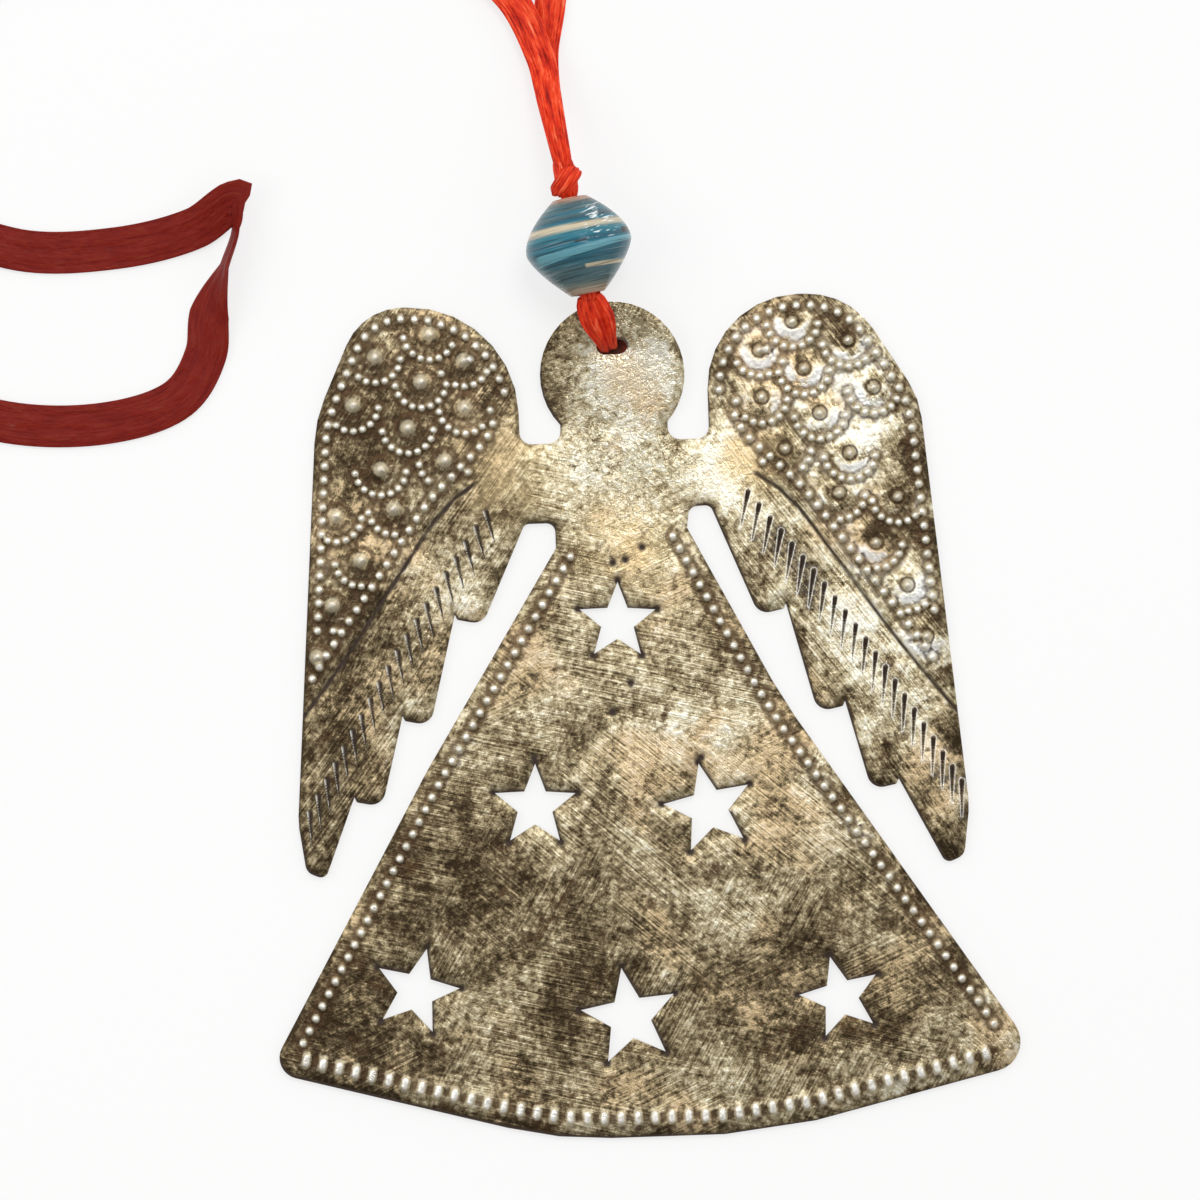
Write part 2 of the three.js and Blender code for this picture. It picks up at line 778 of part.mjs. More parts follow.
function strandSolid(curve, steps, sizes, across) {
  const rings = [];
  for (let i = 0; i <= steps; i += 1) {
    const share = i / steps;
    const width = between(sizes.width, share);
    const thickness = between(sizes.thickness, share);
    const normal = new THREE.Vector3().crossVectors(across, curve.getTangent(share));
    rings.push(ribbonRing(curve.getPoint(share), across, normal, width, thickness));
  }
  return loft(rings);
}

function between(values, share) {
  const place = share * (values.length - 1);
  const i = Math.min(Math.floor(place), values.length - 2);
  return THREE.MathUtils.lerp(values[i], values[i + 1], place - i);
}

// Sizes of the strands at even steps: the front one from bead to hole, the back one from hole to bead
const wide = ribbonLeafWidth;
const thin = ribbonThickness;
const frontSizes = {
  width: [coreWidth, 0.9 * wide, wide, 0.75 * wide, ribbonHoleWidth],
  thickness: [0.9 * coreThickness, thin, thin, thin, ribbonHoleThickness],
};
const backSizes = {
  width: [0.8 * ribbonHoleWidth, ribbonHoleWidth, 0.75 * wide, 0.75 * wide, 0.6 * wide, coreWidth],
  thickness: [0.7 * ribbonHoleThickness, ribbonHoleThickness, thin, thin, thin],
};

// One strand arches from the bead's mouth over the head and down the hole, the other comes back behind.
function ribbonHitch() {
  const throatWay = hitchAway.clone().multiplyScalar(-0.82).addScaledVector(up, -0.57).normalize();
  const throat = swingHinge.clone().addScaledVector(throatWay, knuckleRadius + touchGap);
  const inHole = onStrand(0, headBack(0) + 0.25 * sheetThickness);
  const archHeight = 0.45 * swingHinge.z;
  const underGap = touchGap + ribbonThickness / 2;
  const under = (reach) => onStrand(reach, headBack(reach) - underGap - swayRoom);
  const front = new THREE.CubicBezierCurve3(
    throat,
    throat.clone().addScaledVector(throatWay, 0.7 * archHeight),
    inHole.clone().addScaledVector(up, archHeight),
    inHole
  );
  const back = new THREE.CatmullRomCurve3([
    onStrand(0, headBack(0) + 0.8 * sheetThickness),
    inHole,
    onStrand(0.12, headBack(0) - 0.25),
    onStrand(0.75, headBack(0.75) - underGap - 0.25),
    under(tuckReach),
    under(edgeReach + 0.5 * touchGap),
    onStrand(edgeReach + edgeClearance, headBack(edgeReach) + 0.6 * sheetThickness),
    onStrand(edgeReach + edgeClearance, headBack(edgeReach) + sheetThickness + 0.4),
    throat.clone().addScaledVector(throatWay, 0.55),
  ], false, 'centripetal');
  const alongHead = hitchAcross.clone().setZ(hitchAcross.y * Math.tan(radians(upperHeadTilt))).normalize();
  const frontSolid = toManifold(strandSolid(front, 14, frontSizes, hitchAcross));
  return fromManifold(frontSolid.add(toManifold(strandSolid(back, 24, backSizes, alongHead))));
}

// Straight stretch of both strands in the bore, round at the end where it turns on the hitch
function ribbonCore() {
  const rings = [-80, -50, -25].map((degrees) => {
    const angle = radians(degrees);
    const centre = onBeadAxis(knuckleRadius * Math.sin(angle));
    return ribbonRing(centre, beadAcross, up, coreWidth, coreThickness * Math.cos(angle));
  });
  [0, beadTop].forEach((distance) => {
    rings.push(ribbonRing(onBeadAxis(distance), beadAcross, up, coreWidth, coreThickness));
  });
  return loft(rings);
}

// Knot body with round ends, the turn of ribbon that crosses it aslant, and the cut end of the ribbon
function ribbonKnot() {
  const straight = knotLength - 2 * knotRadius;
  const body = new THREE.CapsuleGeometry(knotRadius, straight, 5, 16);
  const wrap = new THREE.TorusGeometry(knotRadius - 0.25 * knotWrapRadius, knotWrapRadius, 8, 24);
  wrap.rotateX(Math.PI / 2).rotateZ(radians(knotWrapSlant)).translate(0, -knotWrapRadius, 0);
  const placed = fromManifold(toManifold(body).add(toManifold(wrap)).add(toManifold(knotStub())));
  placed.rotateZ(radians(beadLean));
  const centre = onBeadAxis(knotFoot + knotLength / 2);
  placed.translate(centre.x, centre.y, centre.z);
  return placed;
}

function knotStub() {
  const lean = radians(-10);
  const alongStub = new THREE.Vector3(-Math.cos(lean), Math.sin(lean), 0);
  const acrossStub = new THREE.Vector3().crossVectors(alongStub, up);
  const root = new THREE.Vector3(0, -0.2 * knotLength, 0);
  return loft([0.4 * knotRadius, knotRadius + stubReach].map((reach) => {
    const centre = root.clone().addScaledVector(alongStub, reach);
    return ribbonRing(centre, acrossStub, up, stubWidth, ribbonThickness);
  }));
}

// Free ribbon, laid flat or on its edge as its tilt says
class RibbonPath extends THREE.CatmullRomCurve3 {
  constructor(route) {
    super(route.map(([x, y, tilt, lift]) => {
      const angle = radians(tilt);
      const rest = (loopWidth * Math.sin(angle) + loopThickness * Math.cos(angle)) / 2 + floorGap;
      return new THREE.Vector3(x, y, rest + lift);
    }), false, 'centripetal');
    this.tilts = route.map((row) => row[2]);
  }

  getSpacedPoints(steps) {
    return this.getPoints(steps);
  }

  computeFrenetFrames(steps) {
    const tangents = [];
    const normals = [];
    const binormals = [];
    for (let i = 0; i <= steps; i += 1) {
      const share = i / steps;
      const tangent = this.getTangent(share);
      const level = new THREE.Vector3().crossVectors(tangent, up).normalize();
      const across = level.applyAxisAngle(tangent, radians(between(this.tilts, share)));
      tangents.push(tangent);
      normals.push(across);
      binormals.push(new THREE.Vector3().crossVectors(tangent, across));
    }
    return { tangents, normals, binormals };
  }
}

function ribbonLoop() {
  const outline = ribbonSection(loopWidth, loopThickness).map(([u, v]) => new THREE.Vector2(u, v));
  const section = new THREE.Shape(outline);
  const steps = (loopRoute.length - 1) * loopStepsPerStretch;
  const ribbon = new THREE.ExtrudeGeometry(section, { steps, extrudePath: new RibbonPath(loopRoute) });
  const { vertices, triangles } = weld(ribbon);
  return toGeometry(vertices, triangles);
}

// Assembly

const pieces = {
  angel_plate: [angelPlate, 0x8f8566, 0.85],
  ribbon_hitch: [ribbonHitch, 0xb3201a, 0],
  ribbon_core: [ribbonCore, 0xa01a15, 0],
  paper_bead: [paperBead, 0x3f9ab0, 0],
  ribbon_knot: [ribbonKnot, 0xb3201a, 0],
  ribbon_loop: [ribbonLoop, 0xc42a1e, 0],
};

function pieceMesh([name, [build, color, metalness]]) {
  const material = new THREE.MeshStandardMaterial({ color, metalness, roughness: 0.45 });
  const mesh = new THREE.Mesh(build(), material);
  mesh.name = name;
  return mesh;
}

const ornament = new THREE.Group();
ornament.name = 'metal_angel_ornament';
ornament.add(...Object.entries(pieces).map(pieceMesh));

export default ornament;
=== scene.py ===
# %% [markdown]
# # A chiselled steel angel on a satin ribbon
#
# The real ornament is three things: a sheet of recycled steel, cut with shears and worked with punches and a
# chisel, a bead rolled from painted paper, and a red satin ribbon that ties them together. Everything is in metres,
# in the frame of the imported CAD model: the sheet lies on z = 0, the head points to +Y and the worked face to +Z.
# The CAD nodes give the sizes and places, and this script dresses them.

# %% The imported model
import math
from functools import partialmethod

import bmesh
import bpy
import numpy as np
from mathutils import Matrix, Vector
from mathutils.geometry import delaunay_2d_cdt
from mathutils.kdtree import KDTree


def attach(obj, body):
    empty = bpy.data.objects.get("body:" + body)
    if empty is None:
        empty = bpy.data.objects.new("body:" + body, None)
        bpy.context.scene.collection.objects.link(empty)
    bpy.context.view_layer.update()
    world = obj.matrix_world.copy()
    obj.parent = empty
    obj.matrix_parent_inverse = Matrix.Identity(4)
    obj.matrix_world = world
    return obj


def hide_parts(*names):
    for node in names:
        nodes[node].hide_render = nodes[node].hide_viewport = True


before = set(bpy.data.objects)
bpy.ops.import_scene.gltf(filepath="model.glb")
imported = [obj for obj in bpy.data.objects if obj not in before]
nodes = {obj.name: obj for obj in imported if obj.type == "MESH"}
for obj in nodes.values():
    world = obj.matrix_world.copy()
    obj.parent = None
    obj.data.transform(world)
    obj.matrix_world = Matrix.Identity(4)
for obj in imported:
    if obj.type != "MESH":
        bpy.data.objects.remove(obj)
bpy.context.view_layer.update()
MM = 0.001

# %% [markdown]
# ## Camera
#
# The photograph looks straight down on the ornament from far enough that nothing is foreshortened. A long lens a
# metre above the sheet does the same. The angel stands two degrees off the picture's upright, so the camera turns
# by that much, and the object stays square in its own frame.

# %% Camera
VIEW_CENTRE = Vector((-3.02, 17.36)) * MM
VIEW_WIDTH = 181.2 * MM
VIEW_TURN = math.radians(-2)
CAMERA_HEIGHT = 1.0
SENSOR = 36

bpy.context.scene.view_settings.view_transform = "Standard"
camera_data = bpy.data.cameras.new("camera")
camera_data.sensor_width = SENSOR
camera_data.lens = SENSOR * CAMERA_HEIGHT / VIEW_WIDTH
camera = bpy.data.objects.new("camera", camera_data)
camera.location = (*VIEW_CENTRE, CAMERA_HEIGHT)
camera.rotation_euler = (0, 0, VIEW_TURN)
bpy.context.scene.collection.objects.link(camera)
bpy.context.scene.camera = camera
print("lens", round(camera_data.lens, 1), "mm")

# %% [markdown]
# ## Writing materials as sums
#
# A patina or a satin needs dozens of maths nodes, and wiring each one by hand hides the idea. The Wire class wraps
# a socket so that Python's own operators add the nodes, and Finish has one method that adds any other node: its
# type, its settings, and the values or links of its sockets. Colours go through Mix, because a Math node would turn
# them grey.

# %% Wires and finishes
class Wire:
    """A socket on its way through a node tree, which can be used in Python sums."""

    def __init__(self, graph, socket):
        self.graph = graph
        self.socket = socket

    def maths(self, operation, *others):
        return self.graph.add("ShaderNodeMath", {"operation": operation}, dict(enumerate((self, *others))))

    __add__ = __radd__ = partialmethod(maths, "ADD")
    __sub__ = partialmethod(maths, "SUBTRACT")
    __mul__ = __rmul__ = partialmethod(maths, "MULTIPLY")
    __truediv__ = partialmethod(maths, "DIVIDE")
    __pow__ = partialmethod(maths, "POWER")
    at_least = partialmethod(maths, "MAXIMUM")
    at_most = partialmethod(maths, "MINIMUM")

    def __rsub__(self, other):
        return (self - other) * -1

    def step(self, low, high):
        """0 at low, 1 at high and smooth between them."""
        settings = {"interpolation_type": "SMOOTHSTEP"}
        return self.graph.add("ShaderNodeMapRange", settings, {0: self, 1: low, 2: high})

    def band(self, low, high, soft):
        """1 between low and high and 0 outside, with edges soft wide."""
        return self.step(low, low + soft) * (1 - self.step(high, high + soft))

    def toward(self, other, share):
        """This value where share is 0, the other where it is 1."""
        return self * (1 - share) + other * share

    def part(self, axis):
        """The x, y or z of a vector."""
        return self.graph.add("ShaderNodeSeparateXYZ", None, {0: self}, axis)

    def vector(self, operation, other, output=0):
        return self.graph.add("ShaderNodeVectorMath", {"operation": operation}, {0: self, 1: other}, output)


class Graph:
    """A node tree with one way of adding a node to it."""

    def __init__(self, tree):
        self.tree = tree

    def add(self, kind, settings=None, inputs=None, output=0):
        """Adds a node: settings first, then its sockets, then the output that is wanted."""
        node = self.tree.nodes.new(kind)
        for name, value in (settings or {}).items():
            if name == "stops":
                while len(node.color_ramp.elements) < len(value):
                    node.color_ramp.elements.new(0.5)
                for element, (position, colour) in zip(node.color_ramp.elements, value):
                    element.position = position
                    element.color = (*colour, 1)
            else:
                setattr(node, name, value)
        for name, value in (inputs or {}).items():
            self.feed(node.inputs[name], value)
        return None if output is None else Wire(self, node.outputs[output])

    def feed(self, socket, value):
        if isinstance(value, Wire):
            self.tree.links.new(value.socket, socket)
        else:
            socket.default_value = value

    def vector_of(self, *parts):
        """A vector out of its x, y and z."""
        return self.add("ShaderNodeCombineXYZ", None, dict(enumerate(parts)))


class Finish(Graph):
    """A material with one Principled shader."""

    def __init__(self, name):
        self.material = bpy.data.materials.new(name)
        self.material.use_nodes = True
        super().__init__(self.material.node_tree)
        self.tree.nodes.clear()
        self.shader = self.tree.nodes.new("ShaderNodeBsdfPrincipled")
        self.output = self.tree.nodes.new("ShaderNodeOutputMaterial")
        self.tree.links.new(self.shader.outputs[0], self.output.inputs[0])
        self.place = self.add("ShaderNodeTexCoord", output="Object")

    def surface(self, **values):
        """Sets the shader's own sockets; an underscore in a name stands for a space."""
        for name, value in values.items():
            self.feed(self.shader.inputs[name.replace("_", " ")], value)

    def mix(self, a, b, share):
        a, b = ((*c, 1) if isinstance(c, tuple) and len(c) == 3 else c for c in (a, b))
        return self.add("ShaderNodeMix", {"data_type": "RGBA"}, {0: share, 6: a, 7: b}, 2)

    def ramp(self, share, stops):
        return self.add("ShaderNodeValToRGB", {"stops": stops}, {0: share})

    def noise(self, scale, detail=3.0, place=None, rough=0.55):
        return self.add("ShaderNodeTexNoise", None, {
            "Vector": place or self.place, "Scale": scale, "Detail": detail, "Roughness": rough,
        })

    def brushing(self, degrees, across, along, place=None):
        """Noise drawn out into strokes that run at that angle, with so many cells a metre across and along."""
        spin = self.add("ShaderNodeMapping", None, {
            "Vector": place or self.place, "Rotation": (0, 0, math.radians(degrees)),
        })
        return self.noise(1, 4, self.add("ShaderNodeMapping", None, {"Vector": spin, "Scale": (along, across, 1)}))

    def kept(self, name):
        """A number that the mesh keeps at its vertices."""
        return self.add("ShaderNodeAttribute", {"attribute_name": name}, output="Fac")

    def spot(self, x, y, reach):
        """1 at a place on the sheet, in millimetres, and 0 from reach on."""
        away = self.place.vector("DISTANCE", (x * MM, y * MM, MM), "Value")
        return 1 - away.step(0.1 * reach * MM, reach * MM)

    def bump(self, height, depth, under=None):
        """Bump that is depth metres high where height is 1."""
        inputs = {"Height": height, "Distance": depth}
        if under is not None:
            inputs["Normal"] = under
        return self.add("ShaderNodeBump", None, inputs)


def linked(name, mesh, finish):
    piece = bpy.data.objects.new(name, mesh)
    bpy.context.scene.collection.objects.link(piece)
    mesh.materials.clear()
    mesh.materials.append(finish.material)
    return piece


def piece_from(name, vertices, faces, finish, smooth=True):
    mesh = bpy.data.meshes.new(name)
    mesh.from_pydata([tuple(v) for v in vertices], [], [tuple(f) for f in faces])
    mesh.validate()
    if smooth:
        mesh.shade_smooth()
    return linked(name, mesh, finish)


def in_mm(*sizes):
    return [size * MM for size in sizes]


print("materials are ready to be written")

# %% [markdown]
# ## Satin ribbon
#
# The ribbon is quarter-inch polyester satin: a thin strip with a fine slanting weave and long soft creases from
# handling. Its colour runs from a deep wine red to orange-red along streaks and creases, partly the satin's own red
# and partly painted sheen and painted shade, and it is painted darker still over the fold at the far left and nearly
# black where it shows through the hole. The strips carry a UV map that runs across the ribbon and along it, so the
# creases and the weave follow every bend.

# %% Satin finish
# The dark end of this ramp is painted shade and the bright end a painted sheen; between them is the satin's own red.
SATIN_SHEEN_AND_SHADE = [
    (0.37, (0.22, 0.006, 0.003)), (0.45, (0.58, 0.020, 0.006)), (0.52, (0.84, 0.050, 0.012)),
    (0.59, (0.96, 0.12, 0.040)), (0.67, (1.0, 0.36, 0.21)),
]
# The first colour is painted shade over the fold at the far left, and the last painted shade in and under the hole.
WINE_SHADE, DEEP_RED, HOLE_SHADE = (0.13, 0.006, 0.004), (0.24, 0.010, 0.006), (0.05, 0.014, 0.008)


def satin_finish():
    satin = Finish("red satin")
    uv = satin.add("ShaderNodeTexCoord", output="UV")

    def cells(across, along, detail=3.0):
        """Noise with so many cells across the ribbon and so many in 100 mm of its length."""
        place = satin.add("ShaderNodeMapping", None, {"Vector": uv, "Scale": (across, along, 1)})
        return satin.noise(1, detail, place, 0.6)

    streak, crease, thread = cells(15, 14), cells(5, 30, 2), cells(46, 90, 2)
    shade = streak * 0.45 + crease * 0.35 + thread * 0.20
    colour = satin.ramp(shade, SATIN_SHEEN_AND_SHADE)
    # Painted shade: darker over the far left of the loop, and nearly black in and below the hole in the head.
    shaded_far_left = 1 - satin.place.part(0).step(-52 * MM, -25 * MM)
    in_hole = satin.spot(0.2, 55.4, 6) * (1 - satin.place.part(2).step(1.0 * MM, 1.7 * MM))
    on_head = satin.spot(-2.2, 59.5, 9)
    for tint, share in ((WINE_SHADE, shaded_far_left * 0.90), (DEEP_RED, on_head * 0.35), (HOLE_SHADE, in_hole)):
        colour = satin.mix(colour, tint, share)
    relief = satin.bump(crease, 0.45 * MM)
    relief = satin.bump(streak * 0.7 + thread * 0.3, 0.16 * MM, relief)
    satin.surface(
        Base_Color=colour, Roughness=0.36 + thread * 0.2, Normal=relief, Sheen_Weight=0.05, Sheen_Roughness=0.4,
        Sheen_Tint=(1.0, 0.30, 0.15, 1), Specular_IOR_Level=0.14,
    )
    return satin


satin = satin_finish()
print("satin:", len(satin.tree.nodes), "nodes")

# %% [markdown]
# ## A strip of ribbon
#
# Every stretch of the ribbon is the same thing: a thin, pleated strip that follows a line and is turned about it.
# One function makes them all. It takes the line, the direction across the ribbon at each point, and the width,
# thickness and pleat depth there, and puts a closed loop of points round the line at each step. Writing the mesh
# directly keeps the width of the cloth exact, which a simulation or a bevelled curve would not.

# %% Ribbon strips
ROUND_STRIP = 48
SQUARENESS = 0.8
CLOTH_REPEAT = 0.1


def between(values, share):
    """The value at that share of an evenly spaced list."""
    place = min(max(share, 0), 1) * (len(values) - 1)
    low = min(int(place), len(values) - 2)
    return values[low] + (values[low + 1] - values[low]) * (place - low)


def strip_section(width, thick, pleat, pleats, phase):
    """Points round a flat ribbon, as (across, up): round folds with sharp creases between them."""
    points = []
    for i in range(ROUND_STRIP):
        angle = 2 * math.pi * i / ROUND_STRIP
        side, rise = (math.copysign(abs(part) ** SQUARENESS, part) for part in (math.cos(angle), math.sin(angle)))
        fold = pleat * (2 * abs(math.cos(pleats * math.pi / 2 * side + phase)) - 1)
        points.append((width / 2 * side, thick / 2 * rise + fold * (1 - 0.5 * side * side)))
    return points


def ring_faces(pairs, count):
    """Faces between rings of count points, for each pair of ring numbers."""
    turns = [(k, (k + 1) % count) for k in range(count)]
    return [(i * count + a, j * count + a, j * count + b, i * count + b) for i, j in pairs for a, b in turns]


def turn_outward(piece):
    bm = bmesh.new()
    bm.from_mesh(piece.data)
    bmesh.ops.recalc_face_normals(bm, faces=bm.faces)
    bm.to_mesh(piece.data)
    bm.free()


def lengths_along(line):
    return [0.0, *np.cumsum([(b - a).length for a, b in zip(line, line[1:])])]


def ways_along(line):
    """The direction of the line at each of its points."""
    return [(b - a).normalized() for a, b in zip([line[0], *line], [*line[1:], line[-1]])]


def ribbon_strip(name, line, acrosses, width, thick, pleat, pleats=2.5, phase=(0, 0)):
    """A strip along line, in metres; width, thick, pleat and phase are evenly spaced lists of values along it."""
    lengths = lengths_along(line)
    vertices = []
    for point, across, along, length in zip(line, acrosses, ways_along(line), lengths):
        up = across.cross(along).normalized()
        share = length / lengths[-1]
        sizes = (between(values, share) for values in (width, thick, pleat))
        section = strip_section(*sizes, pleats, between(phase, share))
        vertices += [point + across * u + up * v for u, v in section]
    last = len(line) - 1
    faces = ring_faces([(i, i + 1) for i in range(last)], ROUND_STRIP)
    for i, turn in ((0, 1), (last, -1)):
        faces.append([i * ROUND_STRIP + k for k in range(ROUND_STRIP)][::turn])
    piece = piece_from(name, vertices, faces, satin)
    wrap_cloth(piece, lengths)
    turn_outward(piece)
    return piece


def wrap_cloth(piece, lengths):
    """UV map of a strip: across the ribbon from 0 to 1, and along it 1 in every CLOTH_REPEAT."""
    layer = piece.data.uv_layers.new(name="cloth")
    for loop in piece.data.loops:
        ring, k = divmod(loop.vertex_index, ROUND_STRIP)
        angle = 2 * math.pi * k / ROUND_STRIP
        layer.data[loop.index].uv = (0.5 + 0.5 * math.cos(angle), lengths[ring] / CLOTH_REPEAT)


print("a strip has", ROUND_STRIP, "points round it")

# %% [markdown]
# ## The free loop
#
# The loop leaves the knot as two legs, one on the other, goes out of the picture at its top and comes back at its
# left edge, where it is folded on its edge. The rest of it lies flat on the table outside the view. Its route is
# the same row of points as in the CAD source, x, y, tilt in degrees and the height above its rest, and it is joined
# by the same kind of smooth curve.

# %% The loop's route
LOOP_WIDTH = 5.0
LOOP_THICKNESS = 0.7
FLOOR_GAP = 0.05
LOOP_STEPS = 12
LOOP_ROUTE = [
    (-6.4, 83.48, 0, 8.2), (-7.3, 88.6, 0, 7.0), (-8.2, 94.0, 0, 4.2), (-9.3, 99.8, 0, 2.0),
    (-14.0, 109.5, 0, 1.3), (-26.0, 118.0, 0, 0.4), (-48.0, 121.5, 0, 0), (-74.0, 120.0, 0, 0),
    (-96.0, 112.0, 0, 0), (-107.0, 96.0, 0, 0), (-104.0, 81.0, 0, 0), (-90.0, 73.5, 0, 0),
    (-74.0, 73.0, 0, 0), (-62.0, 75.6, 20, 0), (-56.2, 79.0, 70, 0), (-55.9, 75.2, 90, 0),
    (-57.8, 69.6, 70, 0), (-60.4, 62.5, 15, 0), (-61.2, 56.5, 0, 0), (-65.5, 50.0, 0, 0),
    (-78.0, 46.5, 0, 0), (-96.0, 48.5, 0, 0), (-111.0, 58.0, 0, 0), (-119.0, 76.0, 0, 0),
    (-118.0, 98.0, 0, 0), (-108.0, 117.0, 0, 0), (-90.0, 130.0, 0, 0), (-64.0, 135.0, 0, 0),
    (-36.0, 134.0, 0, 0), (-16.0, 126.0, 0, 0), (-7.5, 112.5, 0, 0), (-8.6, 99.8, 0, 0.6),
    (-8.2, 94.0, 0, 2.8), (-7.3, 88.6, 0, 5.7), (-6.4, 83.48, 0, 7.1),
]


def smooth_line(points, steps):
    """Centripetal Catmull-Rom curve through the points, as the CAD source draws it."""
    points = [2 * points[0] - points[1], *points, 2 * points[-1] - points[-2]]
    line = []
    for p0, p1, p2, p3 in zip(points, points[1:], points[2:], points[3:]):
        gap0, gap1, gap2 = ((b - a).length ** 0.5 for a, b in ((p0, p1), (p1, p2), (p2, p3)))
        slope1 = ((p1 - p0) / gap0 - (p2 - p0) / (gap0 + gap1) + (p2 - p1) / gap1) * gap1
        slope2 = ((p2 - p1) / gap1 - (p3 - p1) / (gap1 + gap2) + (p3 - p2) / gap2) * gap1
        for k in range(steps):
            s = k / steps
            line.append(
                p1 * (2 * s**3 - 3 * s**2 + 1) + slope1 * (s**3 - 2 * s**2 + s)
                + p2 * (3 * s**2 - 2 * s**3) + slope2 * (s**3 - s**2)
            )
    return [*line, points[-2]]


def loop_line():
    places = []
    for x, y, tilt, lift in LOOP_ROUTE:
        angle = math.radians(tilt)
        rest = (LOOP_WIDTH * math.sin(angle) + LOOP_THICKNESS * math.cos(angle)) / 2 + FLOOR_GAP
        places.append(Vector((x, y, rest + lift)) * MM)
    return smooth_line(places, LOOP_STEPS)


route = loop_line()

# %% [markdown]
# ## The loop's cloth
#
# The ribbon is gathered where it leaves the knot and opens out on its way. At the fold it lies flatter than in the
# CAD and narrows to a point, as in the photograph. Both are lists of values by the rows of the route.

# %% The loop
FOLD_TILTS = {13: 8, 14: 22, 15: 74, 16: 70}
FOLD_WIDTHS = [
    (13.8, 1.0), (14.0, 1.12), (14.08, 1.85), (14.17, 0.8), (14.25, 0.6), (14.5, 0.5), (15, 0.74), (16, 0.74),
    (17, 1.0),
]
KNOT_WIDTH, LEG_WIDTH, SATIN_WIDTH = 2.9, 4.4, 6.35
LEG_ROWS, SPREAD_ROWS, PLEATED_ROWS = 3, 4, 5
SMOOTH_PLEAT, KNOT_PLEAT = 0.08, 0.30
GATHERED_THICK, SATIN_THICK = 0.7, 0.36
INTO_KNOT = 1.3 * MM


def loop_acrosses(line):
    """Direction across the ribbon: level, and then turned about the line."""
    tilts = [FOLD_TILTS.get(row, place[2]) for row, place in enumerate(LOOP_ROUTE)]
    acrosses = []
    for i, along in enumerate(ways_along(line)):
        level = along.cross(Vector((0, 0, 1))).normalized()
        tilt = math.radians(between(tilts, i / (len(line) - 1)))
        acrosses.append(level * math.cos(tilt) + along.cross(level) * math.sin(tilt))
    return acrosses


def loop_sizes(line):
    """Widths and depths of the pleats: gathered at the knot and wider and smoother away from it."""
    widths, pleats = [], []
    for i in range(len(line)):
        rows_away = min(i, len(line) - 1 - i) / LOOP_STEPS
        gathered = min(1, rows_away / LEG_ROWS)
        spread = min(1, max(0, (rows_away - LEG_ROWS) / SPREAD_ROWS))
        fold = float(np.interp(i / LOOP_STEPS, *zip(*FOLD_WIDTHS)))
        width = KNOT_WIDTH + (LEG_WIDTH - KNOT_WIDTH) * gathered + (SATIN_WIDTH - LEG_WIDTH) * spread
        widths.append(width * fold * MM)
        pleats.append((SMOOTH_PLEAT + KNOT_PLEAT * max(0, 1 - rows_away / PLEATED_ROWS)) * MM)
    return widths, pleats


def evenly(values, line, count=2500):
    """The values of a line's points, read again at even steps of its length."""
    lengths = lengths_along(line)
    return list(np.interp(np.linspace(0, lengths[-1], count), lengths, values))


def tucked_in(values, line):
    """The values of the loop's line with one more at each end, for the stretch that goes into the knot."""
    return evenly([values[0] * 0.8, *values, values[-1] * 0.8], line)


ends = [route[i] + (route[i] - route[j]).normalized() * INTO_KNOT for i, j in ((0, 1), (-1, -2))]
cloth_line = [ends[0], *route, ends[1]]
cloth_acrosses = loop_acrosses(route)
cloth_widths, cloth_pleats = (tucked_in(values, cloth_line) for values in loop_sizes(route))
free_ribbon = ribbon_strip(
    "free_ribbon", cloth_line, [cloth_acrosses[0], *cloth_acrosses, cloth_acrosses[-1]],
    cloth_widths, in_mm(GATHERED_THICK, *([SATIN_THICK] * 12), GATHERED_THICK), cloth_pleats, 2.6, (0, 5),
)
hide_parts("ribbon_loop")
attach(free_ribbon, "loop")
print("free ribbon:", len(free_ribbon.data.polygons), "faces")

# %% [markdown]
# ## Knot and hitch
#
# Below the loop the ribbon is tied in a small overhand knot, then both strands run down the bead's bore, and one
# goes over the head and down through the hole while the other comes back behind. All of it is gathered ribbon, so
# the same strip is used with deeper pleats. The places come from the CAD source: the hitch leans 18 degrees to the
# left of +Y and the bead 9 degrees.

# %% Directions and places
UP = Vector((0, 0, 1))
BEAD_LEAN, HITCH_LEAN = math.radians(9), math.radians(18)


def away_and_across(lean):
    """The way along something that leans to the left of +Y by that angle, and the way across it."""
    return Vector((-math.sin(lean), math.cos(lean), 0)), Vector((math.cos(lean), math.sin(lean), 0))


BEAD_AWAY, BEAD_ACROSS = away_and_across(BEAD_LEAN)
HITCH_AWAY, HITCH_ACROSS = away_and_across(HITCH_LEAN)
SWING_HINGE = Vector((-3.1083, 62.658, 8.05)) * MM
HITCH_FOOT = Vector((-0.75, 55.4, 0)) * MM
BEAD_MIDDLE = SWING_HINGE + BEAD_AWAY * 7.9 * MM
KNOT_FOOT, KNOT_LENGTH = 15.5 * MM, 5.3 * MM
NECK_FOLD, HOLE_FOLD = 43.6, 54.3
NECK_TILT, HOLE_TILT = math.radians(7), math.radians(18)


def head_lift(y):
    """How far the bent head lifts off the table at y, both in millimetres."""
    lower = np.maximum(0, np.minimum(y, HOLE_FOLD) - NECK_FOLD)
    upper = np.maximum(0, y - HOLE_FOLD)
    return lower * math.tan(NECK_TILT) + upper * math.tan(HOLE_TILT)


def on_hitch(reach, height):
    """A place above the line that the hitch runs along, reach and height in millimetres."""
    place = HITCH_FOOT + HITCH_AWAY * reach * MM
    place.z = height * MM
    return place


def head_back(reach):
    return float(head_lift((HITCH_FOOT.y / MM) + reach * HITCH_AWAY.y))


